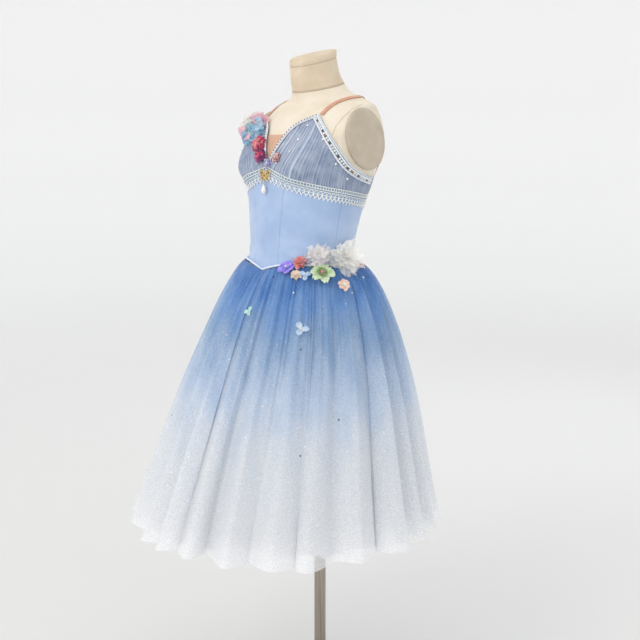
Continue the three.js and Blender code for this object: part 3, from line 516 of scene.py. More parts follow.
def make_piece(name, points, faces, finishes, uv=None, smooth=True, face_finish=None):
    """One mesh object from points in millimetres."""
    mesh = bpy.data.meshes.new(name)
    points = np.asarray(points, float).reshape(-1, 3) * MM
    mesh.from_pydata(points.tolist(), [], [list(face) for face in faces])
    if uv is not None:
        layer = mesh.uv_layers.new(name="UVMap")
        corner = np.zeros(len(mesh.loops), np.int32)
        mesh.loops.foreach_get("vertex_index", corner)
        layer.data.foreach_set("uv", np.asarray(uv, np.float32).reshape(-1, 2)[corner].ravel())
    for finish in finishes:
        mesh.materials.append(finish)
    if face_finish is not None:
        mesh.polygons.foreach_set("material_index", np.asarray(face_finish, np.int32))
    mesh.polygons.foreach_set("use_smooth", np.full(len(mesh.polygons), smooth))
    mesh.update()
    piece = bpy.data.objects.new(name, mesh)
    bpy.context.scene.collection.objects.link(piece)
    return piece


def fit_out(piece, nodes=(), body=DRESS):
    """Rides the piece on its body and hides the CAD nodes that it stands for."""
    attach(piece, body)
    if nodes:
        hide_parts(*nodes)
    return piece


def thicken(piece, name, thick):
    """Gives a sheet a wall of some millimetres."""
    wall = piece.modifiers.new(name, "SOLIDIFY")
    wall.thickness = thick * MM
    return wall


def refinish(node, finish):
    """Gives a CAD node that stays one material."""
    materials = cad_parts[node].data.materials
    materials.clear()
    materials.append(finish)


def bevel(node, name, width, segments):
    """Rounds the edges of a CAD node that stays."""
    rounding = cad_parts[node].modifiers.new(name, "BEVEL")
    rounding.width = width * MM
    rounding.segments = segments
    return rounding


def grid_faces(rows, columns, ring=False):
    """Quads over a grid of points. A ring joins its last column to its first."""
    index = np.arange(rows * columns).reshape(rows, columns)
    if ring:
        index = np.concatenate([index, index[:, :1]], 1)
    return np.stack([index[:-1, :-1], index[:-1, 1:], index[1:, 1:], index[1:, :-1]], -1).reshape(-1, 4)


def cloth(name, points, finish, nodes=(), uv=None, thick=0.0):
    """A sheet of cloth through a grid of points, rows of them from the bottom up."""
    rows, columns = points.shape[:2]
    if uv is None:
        along, up = arc_length(points[0]), arc_length(points[:, 0])
        uv = np.stack(np.broadcast_arrays(along[None, :], up[:, None]), -1) * MM
    piece = make_piece(name, points, grid_faces(rows, columns), [finish], uv=uv)
    if thick:
        thicken(piece, "cloth_thickness", thick).offset = -1
    return fit_out(piece, nodes)


class Pile:
    """Many small shapes gathered into one mesh, each with its own finish."""

    def __init__(self):
        self.points, self.faces, self.finish, self.count = [], [], [], 0

    def add(self, points, faces, finish=0):
        points = np.asarray(points, float).reshape(-1, 3)
        for face in faces:
            self.faces.append([int(v) + self.count for v in face])
            self.finish.append(finish)
        self.points.append(points)
        self.count += len(points)

    def make(self, name, finishes, nodes=(), smooth=True, body=DRESS):
        points = np.concatenate(self.points)
        piece = make_piece(name, points, self.faces, finishes, smooth=smooth, face_finish=self.finish)
        return fit_out(piece, nodes, body)


def route_frame(route, up):
    """Sideways and upward directions along a route."""
    tangent = unit(np.gradient(route, axis=0))
    side = unit(np.cross(tangent, np.broadcast_to(up, route.shape)))
    return side, np.cross(side, tangent)


def tube(pile, route, radius, up, sides=6, finish=0, ring=False):
    """A round cord along a route."""
    side, rise = route_frame(route, up)
    if ring:
        up = np.broadcast_to(up, route.shape)
        looped, lifted = [np.concatenate([v[-2:-1], v, v[1:2]]) for v in (route, up)]
        side, rise = [part[1:-1] for part in route_frame(looped, lifted)]
    turn = circle(sides)
    radius = np.broadcast_to(np.asarray(radius, float), len(route))[:, None, None]
    across = np.cos(turn)[None, :, None] * side[:, None]
    over = np.sin(turn)[None, :, None] * rise[:, None]
    points = route[:, None] + radius * (across + over)
    faces = grid_faces(len(route), sides, ring=True)[:, ::-1].tolist()
    if not ring:
        faces.append(list(range(sides)))
        faces.append([(len(route) - 1) * sides + k for k in range(sides)][::-1])
    pile.add(points, faces, finish)


def arc_length(route):
    """The length of a route up to each of its points."""
    return np.concatenate([[0], np.cumsum(np.linalg.norm(np.diff(route, axis=0), axis=-1))])


def resampled(route, up, steps):
    """Points of a route, and its unit directions up, at lengths along it."""
    length = arc_length(route)
    points, ups = [np.stack([np.interp(steps, length, v[:, k]) for k in range(3)], -1) for v in (route, up)]
    return points, unit(ups)


def rope(pile, route, up, strand, pitch):
    """Two strands twisted round a route."""
    whole = arc_length(route)[-1]
    dense = np.linspace(0, whole, int(whole / pitch * 10) + 2)
    route, up = resampled(route, up, dense)
    side, rise = route_frame(route, up)
    for k in range(2):
        turn = (2 * np.pi * (dense / pitch + k / 2))[:, None]
        strand_route = route + strand * 0.85 * (np.cos(turn) * side + np.sin(turn) * rise)
        tube(pile, strand_route, strand, up)


def skin_tube(pile, angle, z, out, radius, sides=6, ring=False):
    """A cord that runs over the form at a stand-off."""
    tube(pile, on_body(angle, z, out), radius, body_normal(angle, z), sides, ring=ring)


def ball(rings, spokes):
    """A unit ball with its poles on Z."""
    lat = np.linspace(0, np.pi, rings + 1)[1:-1]
    body = np.concatenate([oval(np.sin(a), np.sin(a), np.cos(a), circle(spokes)) for a in lat])
    points = np.concatenate([body, [[0, 0, 1], [0, 0, -1]]])
    faces = grid_faces(rings - 1, spokes, ring=True)[:, ::-1].tolist()
    last = (rings - 2) * spokes
    for k in range(spokes):
        nxt = (k + 1) % spokes
        faces.append([len(body), k, nxt])
        faces.append([len(body) + 1, last + nxt, last + k])
    return points, faces


def cut_stone(spokes):
    """A faceted stone of unit radius with a flat table, standing on its back."""
    rings = [(0.6, 0.0), (1.0, 0.3), (0.86, 0.55), (0.5, 0.8)]
    points = [oval(r, r, h, circle(spokes) + 0.4 * k) for k, (r, h) in enumerate(rings)]
    faces = grid_faces(len(rings), spokes, ring=True).tolist()
    faces.append([(len(rings) - 1) * spokes + k for k in range(spokes)])
    faces.append(list(range(spokes))[::-1])
    return np.concatenate(points), faces


BALL = ball(6, 10)
SMALL_BALL = ball(4, 7)
STONE = cut_stone(8)


def basis_on(normal):
    """Rows across, up and out, for a shape that stands on a surface."""
    normal = unit(np.asarray(normal, float))
    rise = unit(np.array([0, 0, 1.0]) - normal * normal[2])
    return np.stack([np.cross(rise, normal), rise, normal])


def set_on(pile, shape, centre, normal, size, finish=0, spin=0.0):
    """Puts a small shape on a surface. size is one radius, or one for each of across, up and out."""
    points, faces = shape
    size = np.broadcast_to(np.asarray(size, float), 3)
    pile.add(np.asarray(centre) + spun(points * size, spin) @ basis_on(normal), faces, finish)


# Dress form and stand


def closed_rings(pile, rings, finish=0):
    """A skin through closed rings, with flat ends."""
    rings = np.asarray(rings, float)
    count, across = rings.shape[:2]
    faces = grid_faces(count, across, ring=True).tolist()
    faces.append(list(range(across))[::-1])
    faces.append([(count - 1) * across + k for k in range(across)])
    pile.add(rings, faces, finish)


def arm_cut_x(z):
    """How far out the form is cut off at a height."""
    return ARM_CUT["x"] + ARM_CUT["slope"] * (z - ARM_CUT["z"])


def form_ring(z, rise=0.0, level=0.0):
    """A ring round the form, cut at the arms, where the edge is round over CUT_EDGE millimetres."""
    angle = np.linspace(-180, 180, 200, endpoint=False)
    points = body_point(angle, z, level)
    limit = arm_cut_x(points[:, 2])
    across = np.abs(points[:, 0])
    over = across - limit
    eased = limit - CUT_EDGE / 2 * (1 - np.tanh((over + CUT_EDGE / 2) / CUT_EDGE))
    points[:, 0] = np.where(over > -CUT_EDGE, np.sign(points[:, 0]) * np.minimum(eased, limit), points[:, 0])
    points[:, 2] += rise
    return points


FORM_BASE = 735
CHEST = 1150
NECK_BASE = 1300
NECK_TOP = 1350
# Levels between which the cover lies a little deeper, well under the satin
UNDER_SATIN = (930, 1040)
torso = Pile()
coarse, fine = np.arange(FORM_BASE, CHEST, 9), np.arange(CHEST, NECK_BASE, 3)
torso_levels = np.concatenate([coarse, fine, [NECK_BASE]])
low, high = UNDER_SATIN
closed_rings(torso, [form_ring(z, 0, -0.8 if low < z < high else 0) for z in torso_levels])
neck_levels = np.append(np.arange(NECK_BASE, NECK_TOP, 5.0), NECK_TOP)
closed_rings(torso, [form_ring(z) for z in neck_levels], 1)
torso.make("form_cover", [cream_linen, neck_linen], ["form_torso"])

cap = Pile()
CAP_PROFILE = [(0.3, 0.3), (0.8, 0.8), (7, 0.8), (12.8, 0.6), (13.8, -0.4), (14, -2), (14, -22)]
closed_rings(cap, [form_ring(NECK_TOP, rise, level) for rise, level in CAP_PROFILE])
cap.make("form_neck_cover", [neck_linen], ["form_neck_cap"])

ARM_PLATE = {"z": 1196, "y": -8, "half_depth": 52, "half_height": 61}
PLATE_PROFILE = [(0.3, -1.0), (1.2, 0), (2.2, -0.1), (3.4, -1.3), (4.4, -4), (5, -9), (5.3, -24), (5.3, -46)]
for side, word in SIDES:
    plate = Pile()
    out = unit(np.array([side, 0, -ARM_CUT["slope"]]))
    up = unit(np.array([side * ARM_CUT["slope"], 0, 1.0]))
    across = np.cross(up, out)
    middle = np.array([side * arm_cut_x(ARM_PLATE["z"]), ARM_PLATE["y"], ARM_PLATE["z"]])
    turn = circle(72)
    rings = []
    for height, grow in PLATE_PROFILE:
        a = max(ARM_PLATE["half_depth"] + grow, 1)
        b = max(ARM_PLATE["half_height"] + grow, 1)
        rings.append(middle + oval(a, b, height, turn) @ np.stack([across, up, out]))
    closed_rings(plate, rings)
    # The arm plates in the jersey painted darker as shade.
    plate.make(f"form_arm_cover_{word}", [shaded_jersey], [f"form_arm_plate_{word}"])

# Seams of the form's cover, as the fine ridges that the thread pulls up, coloured darker along them as
# painted shade.
SHOULDER_SEAM = {"angle": (46, 47, 52, 61, 77), "z": (1203, 1221, 1239, 1256, 1265)}
seams = Pile()
ring_angle = np.linspace(-180, 180, 161)
skin_tube(seams, ring_angle, NECK_BASE, 0.1, 0.5, 5, ring=True)
for side in (1, -1):
    share = np.linspace(0, 1, 40)
    angle = side * np.interp(share, [0, 0.2, 0.45, 0.7, 1], SHOULDER_SEAM["angle"])
    height = np.interp(share, [0, 0.2, 0.45, 0.7, 1], SHOULDER_SEAM["z"])
    points = on_body(angle, height, 0.15)
    inside = np.abs(points[:, 0]) < arm_cut_x(points[:, 2]) - 2
    tube(seams, points[inside], 0.45, body_normal(angle, height)[inside], 5)
seams.make("form_seams", [shaded_jersey])

for node in ("stand_pole", "stand_collar", "stand_foot"):
    refinish(node, steel)
    bevel(node, "worn_edges", 0.8, 2).angle_limit = math.radians(40)


# Bodice

# Seams as angles at the waist and at the bust line
PRINCESS = (16.5, 19.5)
SIDE = (82, 78)
BACK_SEAM = (140, 136)
CENTRE_BACK = (180, 180)


def mirrored(seam):
    """A seam on the other side."""
    return (-seam[0], -seam[1])


PANELS = [
    ("front_centre", mirrored(PRINCESS), PRINCESS),
    ("side_front_left", PRINCESS, SIDE),
    ("side_back_left", SIDE, BACK_SEAM),
    ("back_left", BACK_SEAM, CENTRE_BACK),
    ("side_front_right", mirrored(SIDE), mirrored(PRINCESS)),
    ("side_back_right", mirrored(BACK_SEAM), mirrored(SIDE)),
    ("back_right", mirrored(CENTRE_BACK), mirrored(BACK_SEAM)),
]
# Soft ridges where the satin pulls: angle and height of the middle, half length, slant, half width and rise
CREASES = [
    (33, 968, 34, -0.32, 4.0, 1.0),
    (48, 985, 40, -0.22, 5.0, 0.7),
    (60, 1010, 36, -0.1, 6.0, 0.5),
    (66, 1062, 30, 0.25, 5.0, 0.45),
    (28, 1084, 26, 0.35, 5.0, 0.45),
    (-6, 1000, 24, 0.15, 6.0, 0.5),
    (5, 1046, 26, -0.2, 6.0, 0.4),
    (-44, 975, 38, 0.3, 5.0, 0.8),
    (-58, 1020, 34, 0.15, 6.0, 0.5),
    (104, 978, 36, 0.24, 5.0, 0.8),
    (118, 1030, 34, 0.12, 6.0, 0.5),
    (-110, 980, 36, -0.24, 5.0, 0.8),
    (-122, 1034, 32, -0.14, 6.0, 0.5),
    (158, 985, 26, 0.2, 5.0, 0.6),
    (-160, 990, 26, -0.2, 5.0, 0.6),
]
# The length of one degree round the waist, in millimetres
MM_PER_DEGREE = 2.15
# Half the gap between two panels, in degrees
SEAM_GAP = 0.08


def crease_height(angle, z):
    """How far the creases lift the satin."""
    total = np.zeros(np.broadcast(angle, z).shape)
    for middle_angle, middle_z, reach, slant, width, height in CREASES:
        along = (angle - middle_angle) * MM_PER_DEGREE
        off = z - middle_z - slant * along
        # Each ridge has a shallow hollow under it.
        across = np.exp(-((off / width) ** 2)) - 0.4 * np.exp(-(((off + 9) / 7) ** 2))
        total += height * np.exp(-((along / reach) ** 2)) * across
    return total


def panel_height(angle, share):
    """Heights up a panel, from the waist line to just under the bust line."""
    return mix(line_z(WAIST, angle), line_z(UNDERBUST, angle) - 0.3, share)


for word, low_seam, high_seam in PANELS:
    share = np.linspace(0, 1, 56)[:, None]
    start = mix(low_seam[0], low_seam[1], share) + SEAM_GAP
    end = mix(high_seam[0], high_seam[1], share) - SEAM_GAP
    columns = int(abs(high_seam[0] - low_seam[0]) * 1.0) + 12
    # Columns crowd towards the seams, where the edge rolls under.
    u = 0.5 - 0.5 * np.cos(np.linspace(0, np.pi, columns))[None, :]
    angle = mix(start, end, u)
    z = panel_height(angle, share)
    from_seam = np.minimum(angle - start, end - angle) * MM_PER_DEGREE
    roll = 1.1 * np.exp(-((from_seam / 1.5) ** 2))
    pucker = 0.16 * np.sin(z * 2 * np.pi / 8.5 + 2 * np.sin(z / 23)) * np.exp(-from_seam / 9)
    points = on_body(angle, z, SATIN_OUT - roll + pucker + crease_height(angle, z))
    panel = cloth(f"satin_{word}", points, ice_satin, [f"bodice_{word}"], thick=1.2)


# Cups, back bands and the sheer inset

# Pleats lean by slant, less by ease for each degree from the centre front.
PLEAT = {"slant": 0.2, "ease": 0.0048, "least": -0.09, "spacing": 3.15, "rise": 1.6}


def pleat_phase(angle, z, seed):
    """Counts pleats round the cup. They lean outwards as they climb, and vary in width."""
    climb = z - line_z(UNDERBUST, angle)
    turn = np.abs(angle)
    slant = np.maximum(PLEAT["slant"] - PLEAT["ease"] * turn, PLEAT["least"]) * smooth_step(118, 90, turn)
    lean = turn - slant * climb
    phase = lean / PLEAT["spacing"]
    return phase + 0.35 * np.sin(phase * 0.9 + seed) + 0.2 * np.sin(phase * 2.3 + 1.7 * seed)


def pleat_profile(phase):
    """One knife pleat from its hidden fold up to its edge, which then drops."""
    part = phase % 1
    return np.where(part < 0.86, (part / 0.86) ** 0.7, 1 - smooth_step(0.86, 1.0, part))


def pleated_cloth(name, node, ends, top, seed, rows, columns):
    """Chiffon in knife pleats from the bust line up to an edge, between two angles."""
    start, end = sorted(ends)
    share = np.linspace(0, 1, rows)[:, None]
    angle = np.linspace(start, end, columns)[None, :]
    top_z = top(angle)
    low_z = line_z(UNDERBUST, angle) + 0.3
    z = mix(low_z, top_z, share**1.1)
    angle = np.broadcast_to(angle, z.shape)
    phase = pleat_phase(angle, z, seed)
    uneven = 0.72 + 0.28 * np.sin(np.floor(phase) * 2.4 + seed)
    held = 0.55 + 0.45 * np.sin(np.pi * np.clip(share * 0.9 + 0.05, 0, 1))
    out = CUP_BASE + PLEAT["rise"] * uneven * held * pleat_profile(phase)
    points = on_body(angle, z, out)
    # The pleat's phase goes in U, along which the chiffon's painted shade and highlight run.
    uv = np.stack([phase, z * MM], -1)
    piece = cloth(name, points, chiffon, [node], uv=uv)


def cup_top(angle):
    """The cup's upper edge: the neckline up to the peak, then the armhole."""
    turn = np.abs(angle)
    return np.where(turn <= PEAK, line_z(NECKLINE, turn), line_z(ARMHOLE, turn))


def band_top(angle):
    return line_z(BACK_TOP, angle)


for side, word in SIDES:
    ends = (side * 0.2, side * (CUP_END - 0.2))
    pleated_cloth(f"chiffon_cup_{word}", f"cup_{word}", ends, cup_top, 1.3 + side, 60, 420)
    ends = (side * (CUP_END + 0.2), side * 179.8)
    pleated_cloth(f"chiffon_band_{word}", f"back_band_{word}", ends, band_top, 2.9 + side, 14, 260)

inset_z = np.linspace(1155, 1204, 24)[:, None]
inset_edge = NECK_ANGLE.read("angle", inset_z) - 0.2
inset_angle = inset_edge * np.linspace(-1, 1, 15)[None, :]
inset_points = on_body(inset_angle, inset_z, 1.3)
inset = cloth("mesh_inset", inset_points, nude_mesh, ["neck_inset"])


# Trims


def along_route(route, up, spacing):
    """Points and directions at even steps along a route."""
    return resampled(route, up, np.arange(0.5 * spacing, arc_length(route)[-1], spacing))


# How far each part of a trim lies inside its edge, and the sizes of its cords, all in millimetres
NECK_TRIM = {"middle": 2.6, "strand": 1.15, "pitch": 10.0, "edges": (0.6, 5.5), "edge_strand": 0.6}
NECK_TRIM |= {"edge_pitch": 6.0, "strip": (5.8, 2.6, 0.4), "stone": 1.5, "spacing": 6.2}
ARM_TRIM = {"ropes": (4.3, 11.7), "strand": 1.2, "pitch": 8.0, "piping": 1.1, "piping_radius": 1.15}
ARM_TRIM |= {"lattice": 7.9, "half": 2.6, "strip": (13, 9, 5, 1.2), "stone": 2.3, "spacing": 6.0}
stones = Pile()
CLEAR, SMOKE, AMBER, ROSE = range(4)


def inside_edge(line, angle, inset_mm, out, side):
    """A line of a trim, with its upward directions. out is how far it stands off the trim's middle."""
    return below_edge(line, angle, inset_mm, TRIM_OUT + out, side)


def trim_strip(pile, line, angle, insets, out, side, finish):
    """The flat ribbon under a trim."""
    edges = [inside_edge(line, angle, inset_mm, out, side)[0] for inset_mm in insets]
    points = np.stack(edges if side > 0 else [row[::-1] for row in edges])
    pile.add(points, grid_faces(len(insets), len(angle)), finish)


for side, word in SIDES:
    neck_angle = np.linspace(1.4, PEAK - 0.6, 70)
    braid = Pile()
    middle = NECK_TRIM["middle"]
    route, up = inside_edge(NECKLINE, neck_angle, middle, 0.3, side)
    rope(braid, route, up, NECK_TRIM["strand"], NECK_TRIM["pitch"])
    for inset_mm in NECK_TRIM["edges"]:
        route, up = inside_edge(NECKLINE, neck_angle, inset_mm, -0.4, side)
        rope(braid, route, up, NECK_TRIM["edge_strand"], NECK_TRIM["edge_pitch"])
    # Smoke stones along the braid's middle stand for its dark gaps: painted shade.
    gap_shade_stones = along_route(*inside_edge(NECKLINE, neck_angle, middle, 1.6, side), NECK_TRIM["spacing"])
    for k, (point, normal) in enumerate(zip(*gap_shade_stones)):
        set_on(stones, STONE, point, normal, NECK_TRIM["stone"], SMOKE, spin=k)
    # The slate ribbon under the braid, dark as painted shade between its cords.
    trim_strip(braid, NECKLINE, neck_angle, NECK_TRIM["strip"], -1.2, side, 1)
    braid.make(f"rope_braid_{word}", [silver_cord, slate_shade_ribbon], [f"neck_braid_{word}"])

    arm_angle = np.linspace(PEAK + 0.4, CUP_END - 0.2, 120)
    band = Pile()
    for inset_mm in ARM_TRIM["ropes"]:
        route, up = inside_edge(ARMHOLE, arm_angle, inset_mm, 0.0, side)
        rope(band, route, up, ARM_TRIM["strand"], ARM_TRIM["pitch"])
    route, up = inside_edge(ARMHOLE, arm_angle, ARM_TRIM["piping"], -0.6, side)
    tube(band, route, ARM_TRIM["piping_radius"], up, 8, finish=1)
    lattice, up = inside_edge(ARMHOLE, arm_angle, ARM_TRIM["lattice"], -0.5, side)
    half = unit(np.cross(np.gradient(lattice, axis=0), up)) * ARM_TRIM["half"]
    beat = np.arange(120) % 2 * 2 - 1
    for sign in (1, -1):
        tube(band, lattice + half * (beat * sign)[:, None] * 0.9, 0.45, up, 4)
    trim_strip(band, ARMHOLE, arm_angle, ARM_TRIM["strip"], -1.3, side, 2)
    trim_finishes = [silver_cord, piping_satin, slate_shade_ribbon]
    band.make(f"beaded_trim_{word}", trim_finishes, [f"armhole_trim_{word}"])
    # The lattice's stones are clear; some are made smoke and amber as painted reflections, for the dark and
    # yellow glints of clear stones.
    for k, (point, normal) in enumerate(zip(*along_route(lattice, up, ARM_TRIM["spacing"]))):
        kind = (CLEAR, CLEAR, SMOKE, CLEAR, AMBER if k % 3 == 0 else CLEAR)[k % 5]
        set_on(stones, STONE, point + normal * 0.5, normal, ARM_TRIM["stone"], kind, spin=k)

# Guipure lace under the bust: a ribbed edge, crossed threads and a scalloped hem. Depths are below its top.
LACE = {"scallops": 42, "rib": 2.6, "top": 0.8, "rail": 6.6, "cross": 10.4, "net": 17.0, "deep": 25.4}


def lace_point(angle, depth, out=LACE_OUT):
    return on_body(angle, line_z(UNDERBUST, angle) - depth, out)


def lace_cord(pile, angle, depth, radius, out=LACE_OUT):
    skin_tube(pile, angle, line_z(UNDERBUST, angle) - depth, out, radius, 4)


def scallop_depth(share):
    """How deep the lace's hem hangs at a share of a scallop's width."""
    return mix(LACE["net"], LACE["deep"], (1 - np.abs(2 * share - 1)) ** 0.85)


for side, word in SIDES:
    lace = Pile()
    whole = side * np.linspace(0.1, 179.9, 240)
    for line, radius in (("top", 0.9), ("rail", 0.9), ("cross", 0.7), ("net", 0.7)):
        lace_cord(lace, whole, LACE[line], radius)
    for angle in np.arange(0.7, 179.6, LACE["rib"]):
        ends = np.array([LACE["top"], LACE["rail"]])
        lace_cord(lace, np.full(2, side * angle), ends, 0.7, LACE_OUT + 0.1)
    step = 180 / LACE["scallops"]
    for k in range(LACE["scallops"]):
        at = (k + 0.5) * step
        for lean in (1, -1):
            ends = np.clip([at, at + lean * step * 0.75], 0.1, 179.9) * side
            lace_cord(lace, np.linspace(*ends, 4), np.linspace(LACE["cross"], LACE["net"], 4), 0.6)
    for k in range(LACE["scallops"]):
        left, right = k * step + 0.15, (k + 1) * step - 0.15
        turn = np.linspace(0, np.pi, 11)
        middle, reach = (left + right) / 2, (right - left) / 2
        lace_cord(lace, side * (middle - reach * np.cos(turn)), scallop_depth(turn / np.pi), 1.05)
        for share in (0.24, 0.5, 0.76):
            at = side * mix(left, right, share)
            point = lace_point(at, scallop_depth(share) + 0.8)
            set_on(lace, SMALL_BALL, point, body_normal(at, line_z(UNDERBUST, at)), 1.3)
    lace.make(f"guipure_{word}", [lace_thread], [f"lace_{word}"])
    ribbon_points = np.stack([lace_point(whole[::side], depth, 4.05) for depth in (12.6, 8.4, 4.2, 0.3)])
    backing = cloth(f"lace_ribbon_{word}", ribbon_points, lace_ribbon)

# Piping at the waist
ring_angle = np.linspace(0, 360, 361)
signed = np.where(ring_angle > 180, ring_angle - 360, ring_angle)
piping_z = line_z(WAIST, signed) + 1.9
piping = Pile()
swell = 2.3 + 0.12 * np.sin(ring_angle * 0.9) + 0.08 * np.sin(ring_angle * 2.3)
skin_tube(piping, ring_angle, piping_z, SATIN_OUT + 2.7, swell, 10, ring=True)
piping.make("satin_piping", [piping_satin], ["waist_piping"])


# Tulle skirt


def skirt_panels(word):
    """The CAD nodes of one layer's four panels."""
    return [f"skirt_{word}_{side}" for side in ("front", "left", "back", "right")]


LAYER_FIELDS = ("name", "nodes", "finish", "slot", "gathers", "lag", "depth", "inward", "hem", "sway")
LAYER_ROWS = [
    ("tulle_outer", skirt_panels("outer"), outer_net, "blue_tulle", 24, 0, 1.0, 0.0, 417, 5.0),
    ("tulle_second", ["skirt_middle"], second_net, "blue_tulle", 29, 2, 0.8, 0.7, 420, 8.0),
    ("tulle_third", [], third_net, "pale_tulle", 21, 5, 0.7, 1.4, 428, 7.0),
    ("tulle_lining", skirt_panels("inner"), lining_net, "pale_tulle", 18, 8, 0.6, 2.3, 447, 6.0),
]
LAYERS = [dict(zip(LAYER_FIELDS, row)) for row in LAYER_ROWS]
# The least room between two layers of net
LAYER_GAP = 1.2
SKIRT_GRID = (46, 961)


def fold_phase(angle, count, lag):
    """Counts folds round the skirt in radians, with uneven widths."""
    turn = np.radians(angle)
    return count * (turn + 0.035 * np.sin(3 * turn + lag) + 0.03 * np.sin(7 * turn - lag))


def fold_depth(layer, angle, level):
    """How far one layer stands out from the skirt's cone, in millimetres, by itself."""
    turn = np.radians(angle)
    lag = layer["lag"]
    phase = fold_phase(angle, layer["gathers"], lag)
    # A fold is a round flute with a narrow valley on each side, and the flutes differ in depth.
    flute = 1 - 2.4 * np.abs(np.sin(phase / 2)) ** 1.5
    depth = 0.78 + 0.22 * np.sin(5 * turn + 2 * lag)
    fine = np.cos(3 * phase + 1.1 * np.sin(2 * turn + lag)) + 0.7 * np.cos(5 * phase + lag)
    high = smooth_step(600, 935, level)
    middle = np.cos(2 * phase + 1.9 * np.sin(4 * turn) + lag) * smooth_step(430, 760, level)
    wave = depth * flute * (1 - 0.45 * high) + 0.26 * middle + 0.34 * high * fine
    return SKIRT.read("folds", level) * (layer["depth"] * wave - layer["inward"])


def skirt_point(layer, angle, level, extra=0.0):
    """Points of one layer of tulle. Broad folds at the hem divide into fine gathers at the waist."""
    angle, level = np.broadcast_arrays(np.asarray(angle, float), np.asarray(level, float))
    turn = np.radians(angle)
    out = fold_depth(LAYERS[0], angle, level)
    for inner in LAYERS[1 : LAYERS.index(layer) + 1]:
        # A layer lies inside the one over it, and fills its folds only as far as they go.
        out = np.minimum(fold_depth(inner, angle, level), out - LAYER_GAP)
    out = out + extra
    # Each fold leans to one side, more at the hem, so that its edge stands over its neighbour.
    folds = SKIRT.read("folds", level)
    phase = fold_phase(angle, LAYERS[0]["gathers"], 0)
    lean = (0.5 + 0.3 * np.sin(9 * turn)) * np.sin(phase + 1.2 * np.sin(4 * turn)) * folds
    half_width = SKIRT.read("half_width", level)
    turn = turn + lean / half_width
    signed_angle = np.where(angle > 180, angle - 360, angle)
    top = line_z(WAIST, signed_angle) - 0.9
    return np.stack(
        [
            (half_width + out) * np.sin(turn),
            SKIRT.read("centre_y", level) - (SKIRT.read("half_depth", level) + out) * np.cos(turn),
            level + (top - SKIRT_TOP) * np.clip((level - SKIRT_TOP + YOKE) / YOKE, 0, 1),
        ],
        -1,
    )


for layer in LAYERS:
    angle = np.linspace(180, 540, SKIRT_GRID[1])[None, :] % 360.0001
    share = np.linspace(0, 1, SKIRT_GRID[0])[:, None]
    around = np.radians(angle)
    sway = np.sin(around * 5 + layer["lag"]) + 0.6 * np.sin(around * 11 - layer["lag"]) + 1.6
    low = layer["hem"] + layer["sway"] * sway / 1.6
    level = mix(low, SKIRT_TOP, 1 - (1 - share) ** 1.25)
    points = skirt_point(layer, angle, level)
    piece = cloth(layer["name"], points, layer["finish"], layer["nodes"])

# Loose flakes of glitter on the outer net
OUTER = LAYERS[0]
FLAKES = 2600
FLAKE_LEVELS = (436, 940)


def on_skirt(angle, level, extra):
    """Points that stand off the outer net, and directions straight out of it."""
    point = skirt_point(OUTER, angle, level, extra)
    along = skirt_point(OUTER, angle + 0.3, level) - skirt_point(OUTER, angle - 0.3, level)
    up = skirt_point(OUTER, angle, level + 2) - skirt_point(OUTER, angle, level - 2)
    return point, unit(np.cross(along, up))


flakes = Pile()
flake_angle = rng.uniform(0, 360, FLAKES)
flake_level = mix(*FLAKE_LEVELS, rng.beta(1.1, 1.3, FLAKES))
flake_points, flake_normals = on_skirt(flake_angle, flake_level, 0.5)
flake_normals = unit(flake_normals + rng.normal(0, 0.35, (FLAKES, 3)))
flake_size = rng.uniform(0.35, 0.75, FLAKES)
hexagon = oval(1, 1, 0, circle(6))
for point, normal, size in zip(flake_points, flake_normals, flake_size):
    flakes.add(point + hexagon * size @ basis_on(normal), [[0, 1, 2, 3, 4, 5]])
flakes.make("glitter_flakes", [glitter], smooth=False)


# Straps

# The heights of the shoulder, the strap, and where it crosses the shoulder blade and meets the back band
SHOULDER = (1232.0, 1300.0)
STRAP = {"width": 9, "thick": 1.4, "lift": 0.9, "ridge_x": 94, "inward": 0.22}
BLADE = {"x": 82, "z": 1255}
BAND_END = {"x": 117, "z": 1121.9, "stand_off": 5}


def level_where(angle, x):
    """The height on the shoulder at which the form is as wide as x."""
    low, high = SHOULDER
    for _ in range(24):
        middle = (low + high) / 2
        if body_point(angle, middle)[0] > x:
            low = middle
        else:
            high = middle
    return low


def strap_stations():
    """Angle, height and stand-off along a strap, from the cup's peak over the shoulder to the back band."""
    stations = []
    for angle in np.linspace(33, 143, 40):
        x = STRAP["ridge_x"] - STRAP["inward"] * abs(angle - 90)
        stations.append((angle, level_where(angle, x), 0.0))
    for share in np.linspace(0.03, 1, 34):
        z = mix(BLADE["z"], BAND_END["z"], share)
        x = mix(BLADE["x"], BAND_END["x"], share)
        angle = 180 - math.degrees(math.asin(x / BODY.read("half_width", z)))
        stations.append((angle, z, BAND_END["stand_off"] * math.sin(math.pi * share)))
    return np.array(stations)


stations = strap_stations()
STRAP_SECTION = [(-0.5, 0.3), (-0.46, 0.05), (-0.3, 0), (0.3, 0), (0.46, 0.05), (0.5, 0.3), (0.5, 0.7)]
STRAP_SECTION += [(0.46, 0.95), (0.3, 1), (0.1, 0.93), (-0.1, 0.93), (-0.3, 1), (-0.46, 0.95), (-0.5, 0.7)]
for side, word in SIDES:
    angle, z = side * stations[:, 0], stations[:, 1]
    route, normal = on_body(angle, z, stations[:, 2]), body_normal(angle, z)
    sideways = unit(np.cross(normal, np.gradient(route, axis=0)))
    rings = []
    for s, h in STRAP_SECTION:
        rings.append(route + sideways * s * STRAP["width"] + normal * (STRAP["lift"] + h * STRAP["thick"]))
    strap = Pile()
    closed_rings(strap, np.stack(rings, 1))
    strap.make(f"elastic_strap_{word}", [nude_elastic], [f"strap_{word}"])
    refinish(f"strap_slider_{word}", gilt)
    bevel(f"strap_slider_{word}", "rounded_wire", 0.5, 3)


# Flowers


